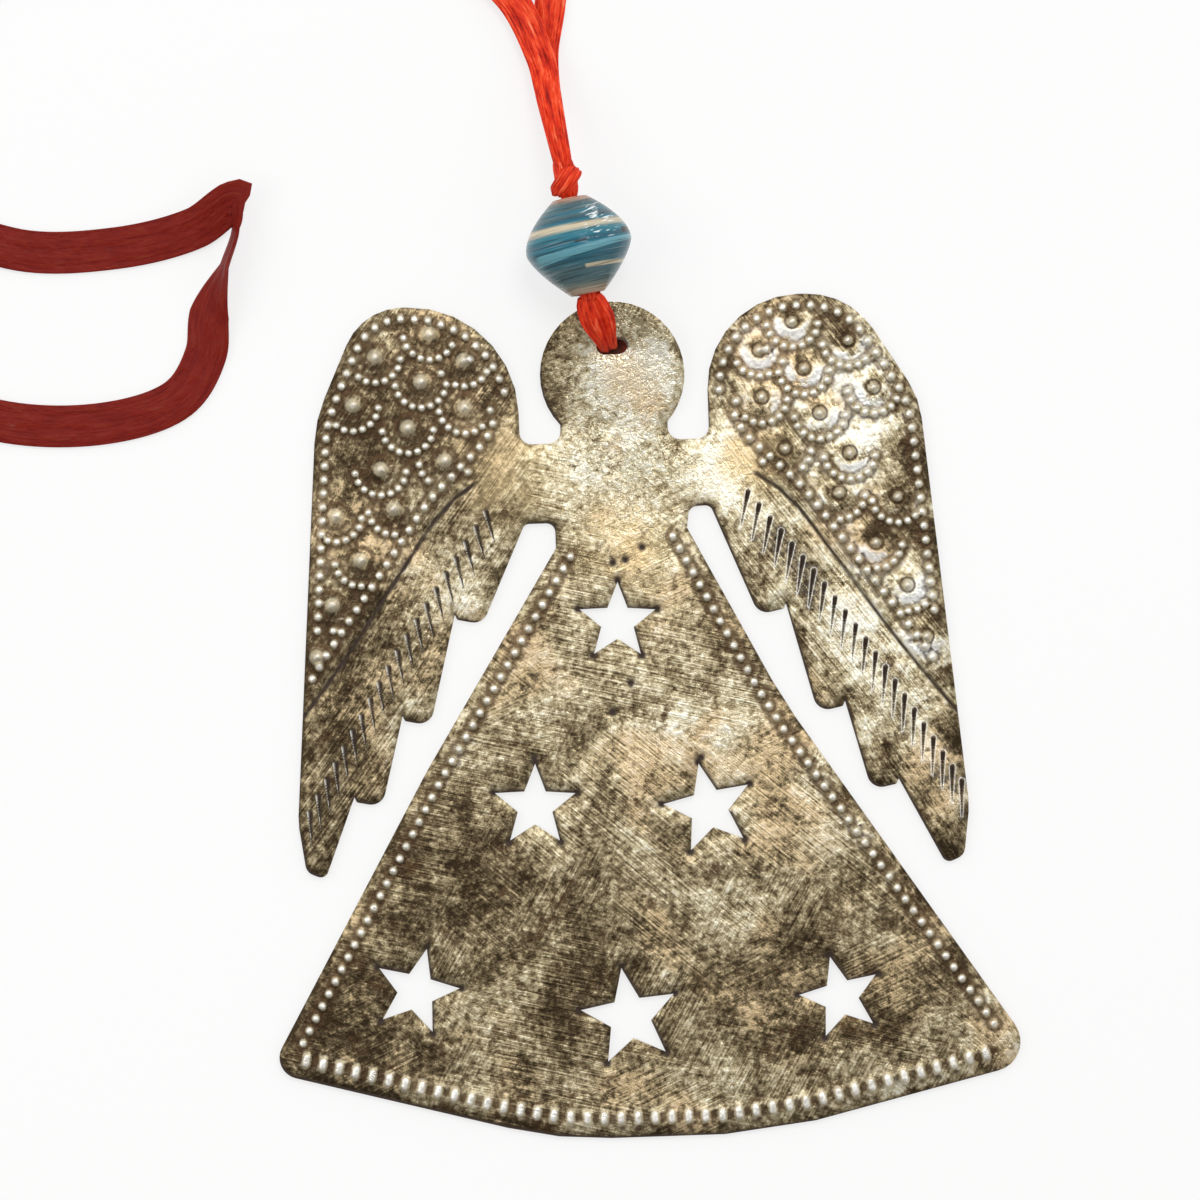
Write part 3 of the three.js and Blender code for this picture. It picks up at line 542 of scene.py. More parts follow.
def joined(name, pieces):
    """One ribbon object out of several closed shells."""
    bm = bmesh.new()
    for piece in pieces:
        bm.from_mesh(piece.data)
        bpy.data.objects.remove(piece)
    mesh = bpy.data.meshes.new(name)
    bm.to_mesh(mesh)
    bm.free()
    mesh.shade_smooth()
    return linked(name, mesh, satin)


print("back of the head at the hole:", round(head_back(0), 2), "mm up")

# %% Hitch over the head
LEAF_WIDTHS = (3.5, 4.5, 4.9, 5.1, 5.2, 4.9, 4.4, 3.7, 3.1, 2.7)
LEAF_ASIDE = 0.35 * MM
BEHIND_HEAD = 1.1


def bezier_line(a, b, c, d, steps):
    shares = [i / steps for i in range(steps + 1)]
    return [a * (1 - t)**3 + b * 3 * t * (1 - t)**2 + c * 3 * t * t * (1 - t) + d * t**3 for t in shares]


def front_leaf(throat, throat_way):
    """The strand on the face of the head: a leaf that is widest halfway and runs to a point in the hole."""
    aside = HITCH_ACROSS * LEAF_ASIDE
    line = bezier_line(
        throat, throat + throat_way * 3.2 * MM, on_hitch(0.75, 5.6) + aside, on_hitch(-0.45, 0.8) + aside, 36
    )
    reach = [(point - throat).dot(HITCH_AWAY) for point in line]
    widths = [between(LEAF_WIDTHS, value / min(reach)) * MM for value in reach]
    return ribbon_strip(
        "front_strand", line, [HITCH_ACROSS] * len(line), evenly(widths, line), in_mm(1.3, 0.9, 0.7, 0.7, 0.8),
        in_mm(0.15, 0.50, 0.62, 0.56, 0.34, 0.10), 2.0, (-0.3, -0.6),
    )


def back_strand(throat):
    """The strand behind the head: it shows through the hole, and round the head's top it meets the other."""
    aside = HITCH_ACROSS * MM
    line = [on_hitch(-1.6, 0.5) + aside, on_hitch(-0.5, 0.55) + aside]
    for reach, share in ((0.75, 0.9), (2.4, 0.2), (4.5, 0), (6.86, 0)):
        line.append(on_hitch(reach, head_back(reach) - BEHIND_HEAD) + aside * share)
    line += [on_hitch(7.33, head_back(6.7) + height) for height in (0.6, 1.4)]
    line = smooth_line([*line, throat], 6)
    lean = math.sin(HITCH_LEAN)
    across = Vector((math.cos(HITCH_LEAN), lean, lean * math.tan(HOLE_TILT))).normalized()
    return ribbon_strip(
        "back_strand", line, [across] * len(line), in_mm(4.6, 5.4, 5.0, 3.8, 3.6, 3.6, 3.2, 2.9, 2.7),
        in_mm(0.3, 0.42, 0.4, 0.4, 0.5), in_mm(0.05, 0.07, 0.04), 3.0,
    )


def hitch_strands():
    throat = SWING_HINGE + BEAD_AWAY * 0.3 * MM
    throat_way = (-0.82 * HITCH_AWAY - 0.57 * UP).normalized()
    return joined("hitch_over_head", [front_leaf(throat, throat_way), back_strand(throat)])


hitch = hitch_strands()
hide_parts("ribbon_hitch")
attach(hitch, "hitch")
print("hitch:", len(hitch.data.polygons), "faces")

# %% Knot above the bead
WRAP_SLANT = math.radians(9 + 46)
WRAP_SIDE, WRAP_UP = 2.1, 1.45
WRAP_AT, STUB_AT = 0.44, 0.34


def on_bead_axis(distance):
    return SWING_HINGE + BEAD_AWAY * distance


def tied_knot():
    foot, top = KNOT_FOOT - 0.4 * MM, KNOT_FOOT + KNOT_LENGTH + 0.5 * MM
    line = [on_bead_axis(foot + (top - foot) * i / 24) for i in range(25)]
    bundle = ribbon_strip(
        "bundle", line, [BEAD_ACROSS] * 25, in_mm(2.2, 2.9, 3.3, 3.4, 3.4, 3.3, 3.3, 3.1, 2.6),
        in_mm(1.8, 2.6, 3.0, 3.0, 2.9, 2.8, 2.6, 2.2, 1.4), in_mm(0.06, 0.09, 0.08), 4.0, (0, 1.2),
    )
    axis, around = away_and_across(WRAP_SLANT)
    middle = on_bead_axis(KNOT_FOOT + WRAP_AT * KNOT_LENGTH)
    turns = [math.pi * (1.04 * i / 28 - 0.02) for i in range(-28, 29)]
    ring = [middle + (UP * WRAP_UP * math.cos(a) + around * WRAP_SIDE * math.sin(a)) * MM for a in turns]
    wrap = ribbon_strip(
        "wrap", ring, [axis] * len(ring), in_mm(1.4, 2.4, 3.0, 3.1, 3.0, 2.4, 1.4), in_mm(0.8, 1.1, 1.2, 1.1, 0.8),
        in_mm(0.10, 0.13, 0.10), 4.0, (0, 0.9),
    )
    root = on_bead_axis(KNOT_FOOT + STUB_AT * KNOT_LENGTH)
    stub_line = [
        root - (BEAD_ACROSS * reach + BEAD_AWAY * 0.14 * reach * reach) * MM for reach in np.linspace(0.4, 2.5, 9)
    ]
    stub = ribbon_strip(
        "stub", stub_line, [BEAD_AWAY] * 9, in_mm(2.0, 2.3, 2.3, 2.1, 1.7, 0.7), in_mm(1.6, 1.8, 1.7, 1.4, 0.5),
        in_mm(0.12, 0.14, 0.05), 3.0,
    )
    return joined("tied_knot", [bundle, wrap, stub])


def strands_in_bead():
    line = [on_bead_axis(reach * MM) for reach in np.linspace(-0.3, 15.7, 24)]
    return ribbon_strip(
        "strands_in_bead", line, [BEAD_ACROSS] * 24, in_mm(2.2, *([2.9] * 12), 2.2), in_mm(1.6, *([2.2] * 12), 1.8),
        in_mm(0.12, 0.12), 3.0,
    )


core = strands_in_bead()
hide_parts("ribbon_core")
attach(core, "hanger")
knot = tied_knot()
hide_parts("ribbon_knot")
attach(knot, "hanger")
print("knot:", len(knot.data.polygons), "faces")

# %% [markdown]
# ## Rolled paper bead
#
# The bead is one long tapering strip of painted paper, rolled up on a pin and varnished. Its sides are the edges of
# the layers, which show as fine steps, and the colours are whatever the strip was painted, in bands that rise a
# little round the bead. A turned profile with a step for each layer gives the shape, and a ramp along the bead's
# axis, with the slanting bands laid over it, gives the paint.

# %% Paper finish
BEAD_HALF = 7.3
CREAM, GREY, DEEP = (0.62, 0.53, 0.37), (0.062, 0.125, 0.140), (0.010, 0.085, 0.125)
TEAL, PALE, RIM = (0.013, 0.165, 0.235), (0.13, 0.36, 0.43), (0.48, 0.30, 0.22)
BANDS = [
    (0.00, RIM), (0.05, (0.34, 0.27, 0.20)), (0.09, (0.16, 0.19, 0.17)), (0.14, GREY), (0.20, (0.06, 0.13, 0.15)),
    (0.26, GREY), (0.31, (0.035, 0.14, 0.18)), (0.35, DEEP), (0.40, (0.02, 0.13, 0.18)), (0.45, DEEP),
    (0.50, TEAL), (0.54, DEEP), (0.58, TEAL), (0.63, (0.03, 0.19, 0.24)), (0.672, CREAM), (0.705, CREAM),
    (0.73, TEAL), (0.765, DEEP), (0.80, GREY), (0.83, TEAL), (0.86, GREY),
    (0.89, (0.03, 0.13, 0.16)), (0.92, GREY), (0.95, (0.12, 0.16, 0.15)), (0.975, RIM), (1.00, RIM),
]


def paper_finish():
    paper = Finish("varnished paper")
    local = paper.place.vector("SUBTRACT", tuple(BEAD_MIDDLE))
    axial, side = (local.vector("DOT_PRODUCT", tuple(way), 1) / MM for way in (BEAD_AWAY, BEAD_ACROSS))

    def layers(slant, per_mm, drift):
        """Noise drawn out along the layers, which rise by slant round the bead."""
        return paper.noise(1, 2, paper.vector_of((axial - side * slant) * per_mm, side * drift))

    lines, streaks, glints = layers(0.05, 3.4, 0.10), layers(0.05, 1.3, 0.05), layers(0.16, 2.8, 0.5)
    bands = paper.ramp((axial + (streaks - 0.5) * 0.6 + BEAD_HALF) / (2 * BEAD_HALF), BANDS)
    low_edge, high_edge = axial - side * 0.13, axial - side * 0.07
    wedge = low_edge.step(-1.55, -1.45) * (1 - high_edge.step(-0.35, -0.25)) * side.step(-7.0, -6.0)
    strip_end = axial.band(-3.75, -3.15, 0.1) * side.step(0.2, 0.6)
    tip = side.step(6.6, 6.8) * high_edge.band(0.10, 0.95, 0.1)
    dash = side.band(-0.6, 1.2, 0.2) * axial.band(0.22, 0.46, 0.06)
    lit = side.step(0.5, 2.5) * (1 - side.step(5.0, 6.6)) * axial.step(-0.5, 1.2) * (1 - axial.step(5.2, 6.6))
    colour = bands
    # The last mix, white dashes along the layers on one quarter of the bead, is a painted highlight.
    for tint, share in (
        (PALE, wedge), (CREAM, strip_end * 0.85), ((0.006, 0.008, 0.012), tip + dash),
        ((0.55, 0.62, 0.58), lines.step(0.58, 0.74) * 0.30),
        ((0.008, 0.020, 0.026), (1 - lines.step(0.30, 0.47)) * 0.75),
        ((0.90, 0.97, 0.98), glints.step(0.56, 0.63) * lit * 0.85),
    ):
        colour = paper.mix(colour, tint, share)
    paper.surface(
        Base_Color=colour, Roughness=0.22, Normal=paper.bump(lines, 0.30 * MM), Specular_IOR_Level=0.35,
        Coat_Weight=0.12, Coat_Roughness=0.08,
    )
    return paper


paper = paper_finish()
print("paper:", len(paper.tree.nodes), "nodes")

# %% Bead
BEAD_LAYERS = 30
BEAD_RADIUS, BEAD_RIM, BEAD_BORE = 8.0, 2.5, 1.6
BEAD_SEGMENTS = 96
UPPER_FULLNESS, LOWER_FULLNESS = 1.78, 1.42
LAYER_EDGE = 0.09


def bead_profile(fullness):
    """Half of the bead's side as (radius, reach along the axis), from the rim to the fullest layer."""
    reaches = [BEAD_HALF * (1 - layer / BEAD_LAYERS) ** (1 / fullness) for layer in range(BEAD_LAYERS + 1)]
    side = []
    for layer, (reach, next_reach) in enumerate(zip(reaches, reaches[1:])):
        radius = BEAD_RIM + (BEAD_RADIUS - BEAD_RIM) * (layer + 1) / BEAD_LAYERS
        side += [(radius - LAYER_EDGE, reach - 0.25 * (reach - next_reach)), (radius, next_reach)]
    side[-1] = (BEAD_RADIUS, 0.05)
    return [(BEAD_BORE, 7.0), (BEAD_BORE + 0.15, 7.28), (BEAD_RIM - 0.15, BEAD_HALF), *side]


def rolled_bead():
    upper, lower = bead_profile(UPPER_FULLNESS), bead_profile(LOWER_FULLNESS)
    rings = [*upper, *[(radius, -reach) for radius, reach in reversed(lower)]]
    vertices = []
    for radius, reach in rings:
        for k in range(BEAD_SEGMENTS):
            angle = 2 * math.pi * k / BEAD_SEGMENTS
            outward = BEAD_ACROSS * math.cos(angle) + UP * math.sin(angle)
            vertices.append(BEAD_MIDDLE + (BEAD_AWAY * reach + outward * radius) * MM)
    faces = ring_faces([(i, (i + 1) % len(rings)) for i in range(len(rings))], BEAD_SEGMENTS)
    bead = piece_from("rolled_bead", vertices, faces, paper)
    turn_outward(bead)
    return bead


bead = rolled_bead()
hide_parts("paper_bead")
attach(bead, "bead")
print("bead:", len(bead.data.polygons), "faces")

# %% [markdown]
# ## The steel sheet
#
# The worked sheet is where the skill of the real piece lies, so it gets a dense mesh of its own. Its outline, its
# slots and stars and the centre of every punch mark are read from the CAD node, so nothing can drift. One flat
# triangulation, with extra points round each mark and along each edge, is used for the front and for the back, and
# the heights are then written onto it: edges rolled down by the shears, grooves, pits, and the marks last.

# %% Loops and marks of the CAD sheet
FRONT = 1.0
HEAD_SIDE = 12.6
MARK_TOPS = (1.9, 1.5, 0.45, 0.6)
STAR_POINTS, HOLE_POINTS, SLOT_POINTS = 10, 14, 4


def lift_at(x, y):
    return np.where(np.abs(x) < HEAD_SIDE, head_lift(y), 0.0)


def border_loops(bm):
    """The closed loops round the sheet's flat back, the longest first, as arrays of millimetres."""
    back = set()
    for face in bm.faces:
        if face.normal.z < -0.93:
            places = np.array([vertex.co for vertex in face.verts]) / MM
            if np.all(places[:, 2] - lift_at(places[:, 0], places[:, 1]) < 0.2):
                back.add(face)
    links = {}
    for edge in bm.edges:
        if sum(face in back for face in edge.link_faces) == 1:
            a, b = edge.verts
            links.setdefault(a, []).append(b)
            links.setdefault(b, []).append(a)
    left = dict(links)
    loops = []
    while left:
        loop = [left.popitem()[0]]
        while following := [vertex for vertex in links[loop[-1]] if vertex in left]:
            left.pop(following[0])
            loop.append(following[0])
        loops.append(np.array([vertex.co.xy for vertex in loop]) / MM)
    return sorted(loops, key=len, reverse=True)


sheet = bmesh.new()
sheet.from_mesh(nodes["angel_plate"].data)
bmesh.ops.remove_doubles(sheet, verts=sheet.verts, dist=0.002 * MM)
sheet.normal_update()
loops = border_loops(sheet)
tips = np.array([vertex.co for vertex in sheet.verts]) / MM
heights = tips[:, 2] - lift_at(tips[:, 0], tips[:, 1])
sheet.free()
outline = loops[0]
slots = [loop for loop in loops if len(loop) == SLOT_POINTS]
openings = [loop for loop in loops[1:] if len(loop) in (STAR_POINTS, HOLE_POINTS) and np.ptp(loop[:, 0]) > 2.5]
print(len(outline), "points round the sheet,", len(slots), "slots,", len(openings), "stars and hole")

boss_tips, dot_tips, dimple_tips, groove_tips = (tips[np.abs(heights - top) < 0.02, :2] for top in MARK_TOPS)
print(len(boss_tips), "bosses,", len(dot_tips), "dots,", len(dimple_tips), "dimples,", len(groove_tips), "in grooves")

# %% [markdown]
# ## One flat triangulation
#
# Every line and mark asks for points of its own: rows beside the edges, rings round the punch marks, and lines
# along the grooves and the slots, which are wedges that taper to a point. Points that would crowd the ones before
# them are left out, and a plain grid fills the rest.

# %% Lines and distances
def finer(loop, step):
    """The closed loop with no side longer than step."""
    points = []
    for a, b in zip(loop, np.roll(loop, -1, axis=0)):
        count = max(1, math.ceil(np.linalg.norm(b - a) / step))
        points += [a + (b - a) * k / count for k in range(count)]
    return np.array(points)


def left_of(ways):
    """Unit vectors that point to the left of the given ones."""
    return np.column_stack([-ways[:, 1], ways[:, 0]]) / np.linalg.norm(ways, axis=1)[:, None]


def moved_in(loop, distance, inward=1):
    """Points beside the loop at that distance, on its inner or its outer side."""
    after = np.roll(loop, -1, axis=0)
    area = np.sum(loop[:, 0] * after[:, 1] - loop[:, 1] * after[:, 0])
    return loop + left_of(after - np.roll(loop, 1, axis=0)) * distance * inward * np.sign(area)


def nearest(points, others):
    """How far each point is from the nearest of the others, and which one that is."""
    tree = KDTree(len(others))
    for i, (x, y) in enumerate(others):
        tree.insert((x, y, 0), i)
    tree.balance()
    found = [tree.find((x, y, 0)) for x, y in points]
    return np.array([away for _, _, away in found]), np.array([i for _, i, _ in found])


def distances(points, others):
    return nearest(points, others)[0]


def inside(points, loop):
    """Whether each point is inside the closed loop."""
    x, y = points[:, 0], points[:, 1]
    crossings = np.zeros(len(points), dtype=int)
    for (x0, y0), (x1, y1) in zip(loop, np.roll(loop, -1, axis=0)):
        if y0 != y1:
            between_ends = (y0 > y) != (y1 > y)
            crossings += between_ends & (x < x0 + (y - y0) * (x1 - x0) / (y1 - y0))
    return crossings % 2 == 1


fine_outline = finer(outline, 0.1)
print("the outline has", len(fine_outline), "points a tenth of a millimetre apart")

# %% Arcs, grooves and wedges
SCALE_REACH, SCALE_SPAN = 3.9, 165
CAD_ARC_DOTS, FINE_ARC_DOTS, DOT_ROOM = 7, 9, 1.15
GROOVE_POINTS = 150
WEDGE_FOOT, WEDGE_REACH, SOFT_RIM = 0.05, 4, 0.14
WEST_WIDER, EAST_WIDER = 1.3, 1.05
# The lip beside each east wedge takes a painted highlight.
LIP_SHINE, LIP_AWAY, LIP_WIDE = 0.7, 0.1, 0.07
NICK_AWAY = 0.3
GOUGES = [(1.0, 23.3), (-0.9, 22.9), (3.6, 25.1), (1.2, 4.7), (-1.7, 0.4), (11.4, -6.9), (-13.8, -6.1)]


def scale_arcs(count):
    """Places of the dots that hang in an arc under every boss."""
    angles = np.radians(-90 + SCALE_SPAN * (np.arange(count) / (count - 1) - 0.5))
    arc = SCALE_REACH * np.column_stack([np.cos(angles), np.sin(angles)])
    return np.concatenate([tip + arc for tip in boss_tips])


def fine_dots(rows):
    """Dots of the arcs, closer than the CAD's, where they have room beside the rows and the bosses."""
    places = scale_arcs(FINE_ARC_DOTS)
    places = places[inside(places, outline)]
    groove = np.concatenate([
        finer(half[np.argsort(half[:, 1])], 0.3)
        for half in (groove_tips[groove_tips[:, 0] > 0], groove_tips[groove_tips[:, 0] < 0])
    ])
    for others, room in ((finer(outline, 0.2), 2.5), (groove, 2.0), (rows, DOT_ROOM), (boss_tips, 1.75)):
        places = places[distances(places, others) > room]
    chosen = []
    for place in places:
        if all(np.hypot(*(place - other)) > DOT_ROOM for other in chosen):
            chosen.append(place)
    return np.array(chosen)


def ring_points(tips, rings):
    """Rings of points round each tip, given as (radius, how many)."""
    points = [tips]
    for radius, count in rings:
        for k in range(count):
            angle = 2 * math.pi * (k + 0.5 * (count % 2)) / count
            points.append(tips + radius * np.array([math.cos(angle), math.sin(angle)]))
    return np.concatenate(points)


def wedge(slot):
    """A chiselled slot: its outline, the top and foot of its middle line, the way across to +x, half its width."""
    sides = np.linalg.norm(np.roll(slot, -1, axis=0) - slot, axis=1)
    a, b, c, d = np.roll(slot, -int(np.argmax(sides)), axis=0)
    (_, foot), (half, top) = sorted((np.linalg.norm(p - q) / 2, tuple(p + q)) for p, q in ((a, d), (b, c)))
    foot, top = np.array(foot) / 2, np.array(top) / 2
    way = (foot - top) / np.linalg.norm(foot - top)
    across = np.array([-way[1], way[0]])
    half = half * (WEST_WIDER if top[0] < 0 else EAST_WIDER)
    top = top + way * half
    end = [top + half * (across * math.cos(turn) - way * math.sin(turn)) for turn in np.radians([0, 45, 90, 135, 180])]
    return np.array([*end, foot - across * WEDGE_FOOT, foot + across * WEDGE_FOOT]), top, foot, across, half


def wedge_line(side):
    """Points along every wedge, side times its half width away from its middle line."""
    points = []
    for _, top, foot, across, half in wedges:
        for share in np.linspace(0, 0.96, 14):
            width = half + (WEDGE_FOOT - half) * share
            points.append(top + (foot - top) * share + across * width * side)
    return np.array(points)


def wedge_marks(points):
    """How deep each point is in the wedges, and how much painted shade and painted highlight it takes in and beside
    them.
    """
    deep, dark, bright = (np.zeros(len(points)) for _ in range(3))
    for _, top, foot, across, half in wedges:
        length = np.linalg.norm(foot - top)
        near = np.flatnonzero(np.linalg.norm(points - (top + foot) / 2, axis=1) < WEDGE_REACH)
        along, aside = (points[near] - top) @ (foot - top) / length, (points[near] - top) @ across
        width = half + (WEDGE_FOOT - half) * np.clip(along / length, 0, 1)
        away = np.hypot(aside, np.minimum(along, 0) + np.maximum(along - length, 0))
        held = np.clip((1 - away / width) / SOFT_RIM, 0, 1)
        is_east = top[0] > 0
        # West wedges are painted dark on one side and with a highlight on the other; east wedges are painted dark
        # throughout.
        right = np.ones(len(near)) if is_east else np.clip(aside / width * 4 + 0.95, 0, 1)
        beside = LIP_SHINE * np.exp(-((away - width - LIP_AWAY) / LIP_WIDE) ** 2) * is_east
        for mark, values in (
            (deep, np.clip(1 - away / width, 0, 1) * width), (dark, held * right),
            (bright, np.maximum(held * (1 - right), beside)),
        ):
            mark[near] = np.maximum(mark[near], values)
    return deep, dark, bright


def groove_line(share):
    """Points along both chiselled grooves, moved sideways by share millimetres."""
    lines = []
    for side in (1, -1):
        half = groove_tips[groove_tips[:, 0] * side > 0]
        half = half[np.argsort(-half[:, 1])]
        lengths = np.cumsum([0, *np.linalg.norm(np.diff(half, axis=0), axis=1)])
        even = np.linspace(0, lengths[-1], GROOVE_POINTS)
        line = np.column_stack([np.interp(even, lengths, half[:, axis]) for axis in (0, 1)])
        lines.append(line + left_of(np.gradient(line, axis=0)) * share)
    return np.concatenate(lines)


def star_nicks():
    """Places just beyond the points of the stars, where the chisel ran on a little, and a few stray blows."""
    nicks = [np.array(GOUGES)]
    for star in openings:
        if len(star) == STAR_POINTS:
            away = star - star.mean(axis=0)
            reach = np.linalg.norm(away, axis=1)
            far = reach > reach.mean()
            nicks.append(star[far] + away[far] / reach[far][:, None] * NICK_AWAY)
    return np.concatenate(nicks)


row_tips = dot_tips[distances(dot_tips, scale_arcs(CAD_ARC_DOTS)) > 0.05]
fine_tips = fine_dots(row_tips)
wedges = [wedge(slot) for slot in slots]
nicks = star_nicks()
print(len(row_tips), "dots in rows and", len(fine_tips), "fine dots in arcs,", len(nicks), "nicks")

# %% Flat triangulation
GRID_PITCH = 0.78
edges = [finer(outline, 0.6), *[finer(loop, 0.45) for loop in [*openings, *[cut[0] for cut in wedges]]]]
opening_edges, wedge_edges = edges[1:1 + len(openings)], edges[1 + len(openings):]


def in_sheet(points):
    held = inside(points, outline)
    for loop in openings:
        held &= ~inside(points, loop)
    return held


def free_points():
    """Points of the triangulation that are on no edge, each at least a little way from the ones before it."""
    lips = [moved_in(edge, away, -1) for edge in wedge_edges for away in (0.1, 0.22)]
    boss = ring_points(boss_tips, [(0.3, 6), (0.6, 9), (0.9, 11), (1.15, 13), (1.45, 13), (1.9, 12), (2.5, 12)])
    dot = ring_points(row_tips, [(0.2, 5), (0.42, 8), (0.6, 10), (0.78, 11), (1.0, 9)])
    fine = ring_points(fine_tips, [(0.22, 5), (0.46, 8), (0.68, 10), (0.9, 9)])
    nick = ring_points(nicks, [(0.33, 6), (0.58, 9), (0.8, 10)])
    beside = [moved_in(edges[0], 0.3), moved_in(edges[0], 0.75), *[moved_in(edge, 0.25, -1) for edge in opening_edges]]
    grooves = [groove_line(share) for share in (0, -0.2, 0.2, -0.42, 0.42)]
    across, up = np.arange(-57, 60, GRID_PITCH), np.arange(-65, 64, GRID_PITCH * 0.87)
    grid = [(x + (row % 2) * GRID_PITCH / 2, y) for row, y in enumerate(up) for x in across]
    kept = np.concatenate([*edges, *[wedge_line(side) for side in (0, -0.84, 0.84)]])
    for points, gap in (
        (np.concatenate(lips), 0.08), (boss, 0.14), (dot, 0.13), (fine, 0.13), (nick, 0.13),
        (np.concatenate(grooves), 0.13), (np.concatenate(beside), 0.2), (np.array(grid), 0.42),
    ):
        points = points[in_sheet(points)]
        kept = np.concatenate([kept, points[distances(points, kept) > gap]])
    return kept


def triangulate():
    sides = []
    start = 0
    for edge in edges:
        count = len(edge)
        sides += [(start + k, start + (k + 1) % count) for k in range(count)]
        start += count
    flat, _, triangles, *_ = delaunay_2d_cdt([Vector(point) for point in free_points()], sides, [], 0, 0.00001)
    flat, triangles = np.array([tuple(point) for point in flat]), np.array(triangles)
    return flat, triangles[in_sheet(flat[triangles].mean(axis=1))]


flat, triangles = triangulate()
print(len(flat), "points and", len(triangles), "triangles on each side")

# %% [markdown]
# ## Heights of the sheet
#
# Sheet steel that is cut with shears and beaten on a bench is never flat: its edges are rolled down a little, the
# stars' points end in small nicks, and the whole sheet has a soft swell. The slots are sunk into the face, as blows
# of a chisel leave them. What the finish needs to know of a place is kept as a number at each vertex.

# %% Worked sheet
# Edges with the metal toward this way, up and right, face down and left and take painted shade.
SHADE_WAY = np.array([0.6, 0.8])
STROKE_LENGTH = 3.5
GROOVE_STEP = 0.29
SWELL = 0.30
BOSS_SWELL, BOSS_REACH = 0.42, 3.3
GROOVE_DEPTH, NICK_DEPTH, NICK_REACH = 0.30, 0.3, 0.8
EDGE_ROLL, WIDE_ROLL, BACK_ROLL = (0.30, 0.9), (0.10, 6.0), (0.12, 0.5)
# How far from a boss the painted sheen and the painted shade above it lie, and how wide they are.
SHEEN_AT, SHADE_AT, SHEEN_AND_SHADE_WIDE = 2.3, 1.6, 0.8


def fades(distance, reach, power=2):
    return np.clip(1 - distance / reach, 0, 1) ** power


def rounded_off(from_edge, depth, reach):
    """How far a face is rounded off beside an edge: by depth at the edge, and not at all from reach on."""
    return depth * fades(from_edge, reach)


def swell(x, y):
    """Soft unevenness of beaten sheet, 0 to 1."""
    waves = (
        np.sin(x / 9.1 + 0.7) * np.sin(y / 12.7 + 1.9) + 0.7 * np.sin(x / 5.3 - y / 7.9 + 0.4)
        + 0.45 * np.sin(x / 3.1 + y / 4.3 + 2.2) + 0.3 * np.sin(y / 2.6 - x / 6.1)
    )
    return 0.5 + waves / 4.9


def edge_shade(points, loops, inward, reach):
    """Painted shade along the edges that face down and left: how close each point is to them; inward is 1 for the
    outline, -1 for openings.
    """
    samples = [finer(loop, 0.1) for loop in loops]
    into = np.concatenate([moved_in(loop, 1.0, inward) - loop for loop in samples])
    away, which = nearest(points, np.concatenate(samples))
    return fades(away, reach, 1) * (0.25 + 0.75 * np.clip(into[which] @ SHADE_WAY, 0, 1))


def groove_marks(points):
    """How deep each point is in a groove: the east one is a drawn line, the west one a row of chisel strokes."""
    away, which = nearest(points, groove_line(0))
    along = (which % GROOVE_POINTS) * GROOVE_STEP / STROKE_LENGTH
    half = np.where(which < GROOVE_POINTS, 0.34, 0.22 + 0.26 * np.abs(np.sin(np.pi * along)) ** 0.6)
    return np.clip((1 - away / half) * 1.5, 0, 1)


def boss_light(points):
    """How far each point lies in the painted sheen round a boss, and in the painted shade above and left of it."""
    away = points[:, None, :] - boss_tips[None, :, :]
    reach = np.maximum(np.linalg.norm(away, axis=2), 0.1)
    sheen_band = np.exp(-((reach - SHEEN_AT) / SHEEN_AND_SHADE_WIDE) ** 2) * np.clip(0.75 - 0.85 * away[:, :, 1] / reach, 0, 1)
    shaded = np.clip((away @ np.array([-0.5, 0.87])) / reach, 0, 1) * np.exp(-((reach - SHADE_AT) / SHEEN_AND_SHADE_WIDE) ** 2)
    return np.max(sheen_band, axis=1), np.max(shaded, axis=1)


def face_heights(points):
    """Heights of the front and of the back, and what the finish of the front needs to know of each point."""
    x, y = points[:, 0], points[:, 1]
    from_rim = distances(points, np.concatenate([fine_outline, *[finer(loop, 0.1) for loop in openings]]))
    from_outline = distances(points, fine_outline)
    deep, dark, bright = wedge_marks(points)
    nick = np.clip(1.7 * fades(distances(points, nicks), NICK_REACH, 1), 0, 1)
    groove = groove_marks(points)
    back = lift_at(x, y) + SWELL * swell(x, y) * np.clip(from_rim / 2, 0.2, 1)
    front = FRONT + back - rounded_off(from_rim, *EDGE_ROLL) - rounded_off(from_outline, *WIDE_ROLL)
    bosses = fades(distances(points, boss_tips), BOSS_REACH, 1.4)
    front += BOSS_SWELL * bosses - GROOVE_DEPTH * groove - deep - NICK_DEPTH * nick
    gleam, shade = boss_light(points)
    # Of these, pit, groove, shade, edge and cut say where the finish paints shade, and bright and gleam where it
    # paints highlights.
    marks = {
        "pit": np.maximum(dark, nick), "bright": bright, "groove": groove, "gleam": gleam, "shade": shade,
        "edge": edge_shade(points, [outline], 1, 1.1), "cut": edge_shade(points, openings, -1, 0.6),
        "face_up": np.ones(len(points)),
    }
    return front, back + rounded_off(from_rim, *BACK_ROLL), marks


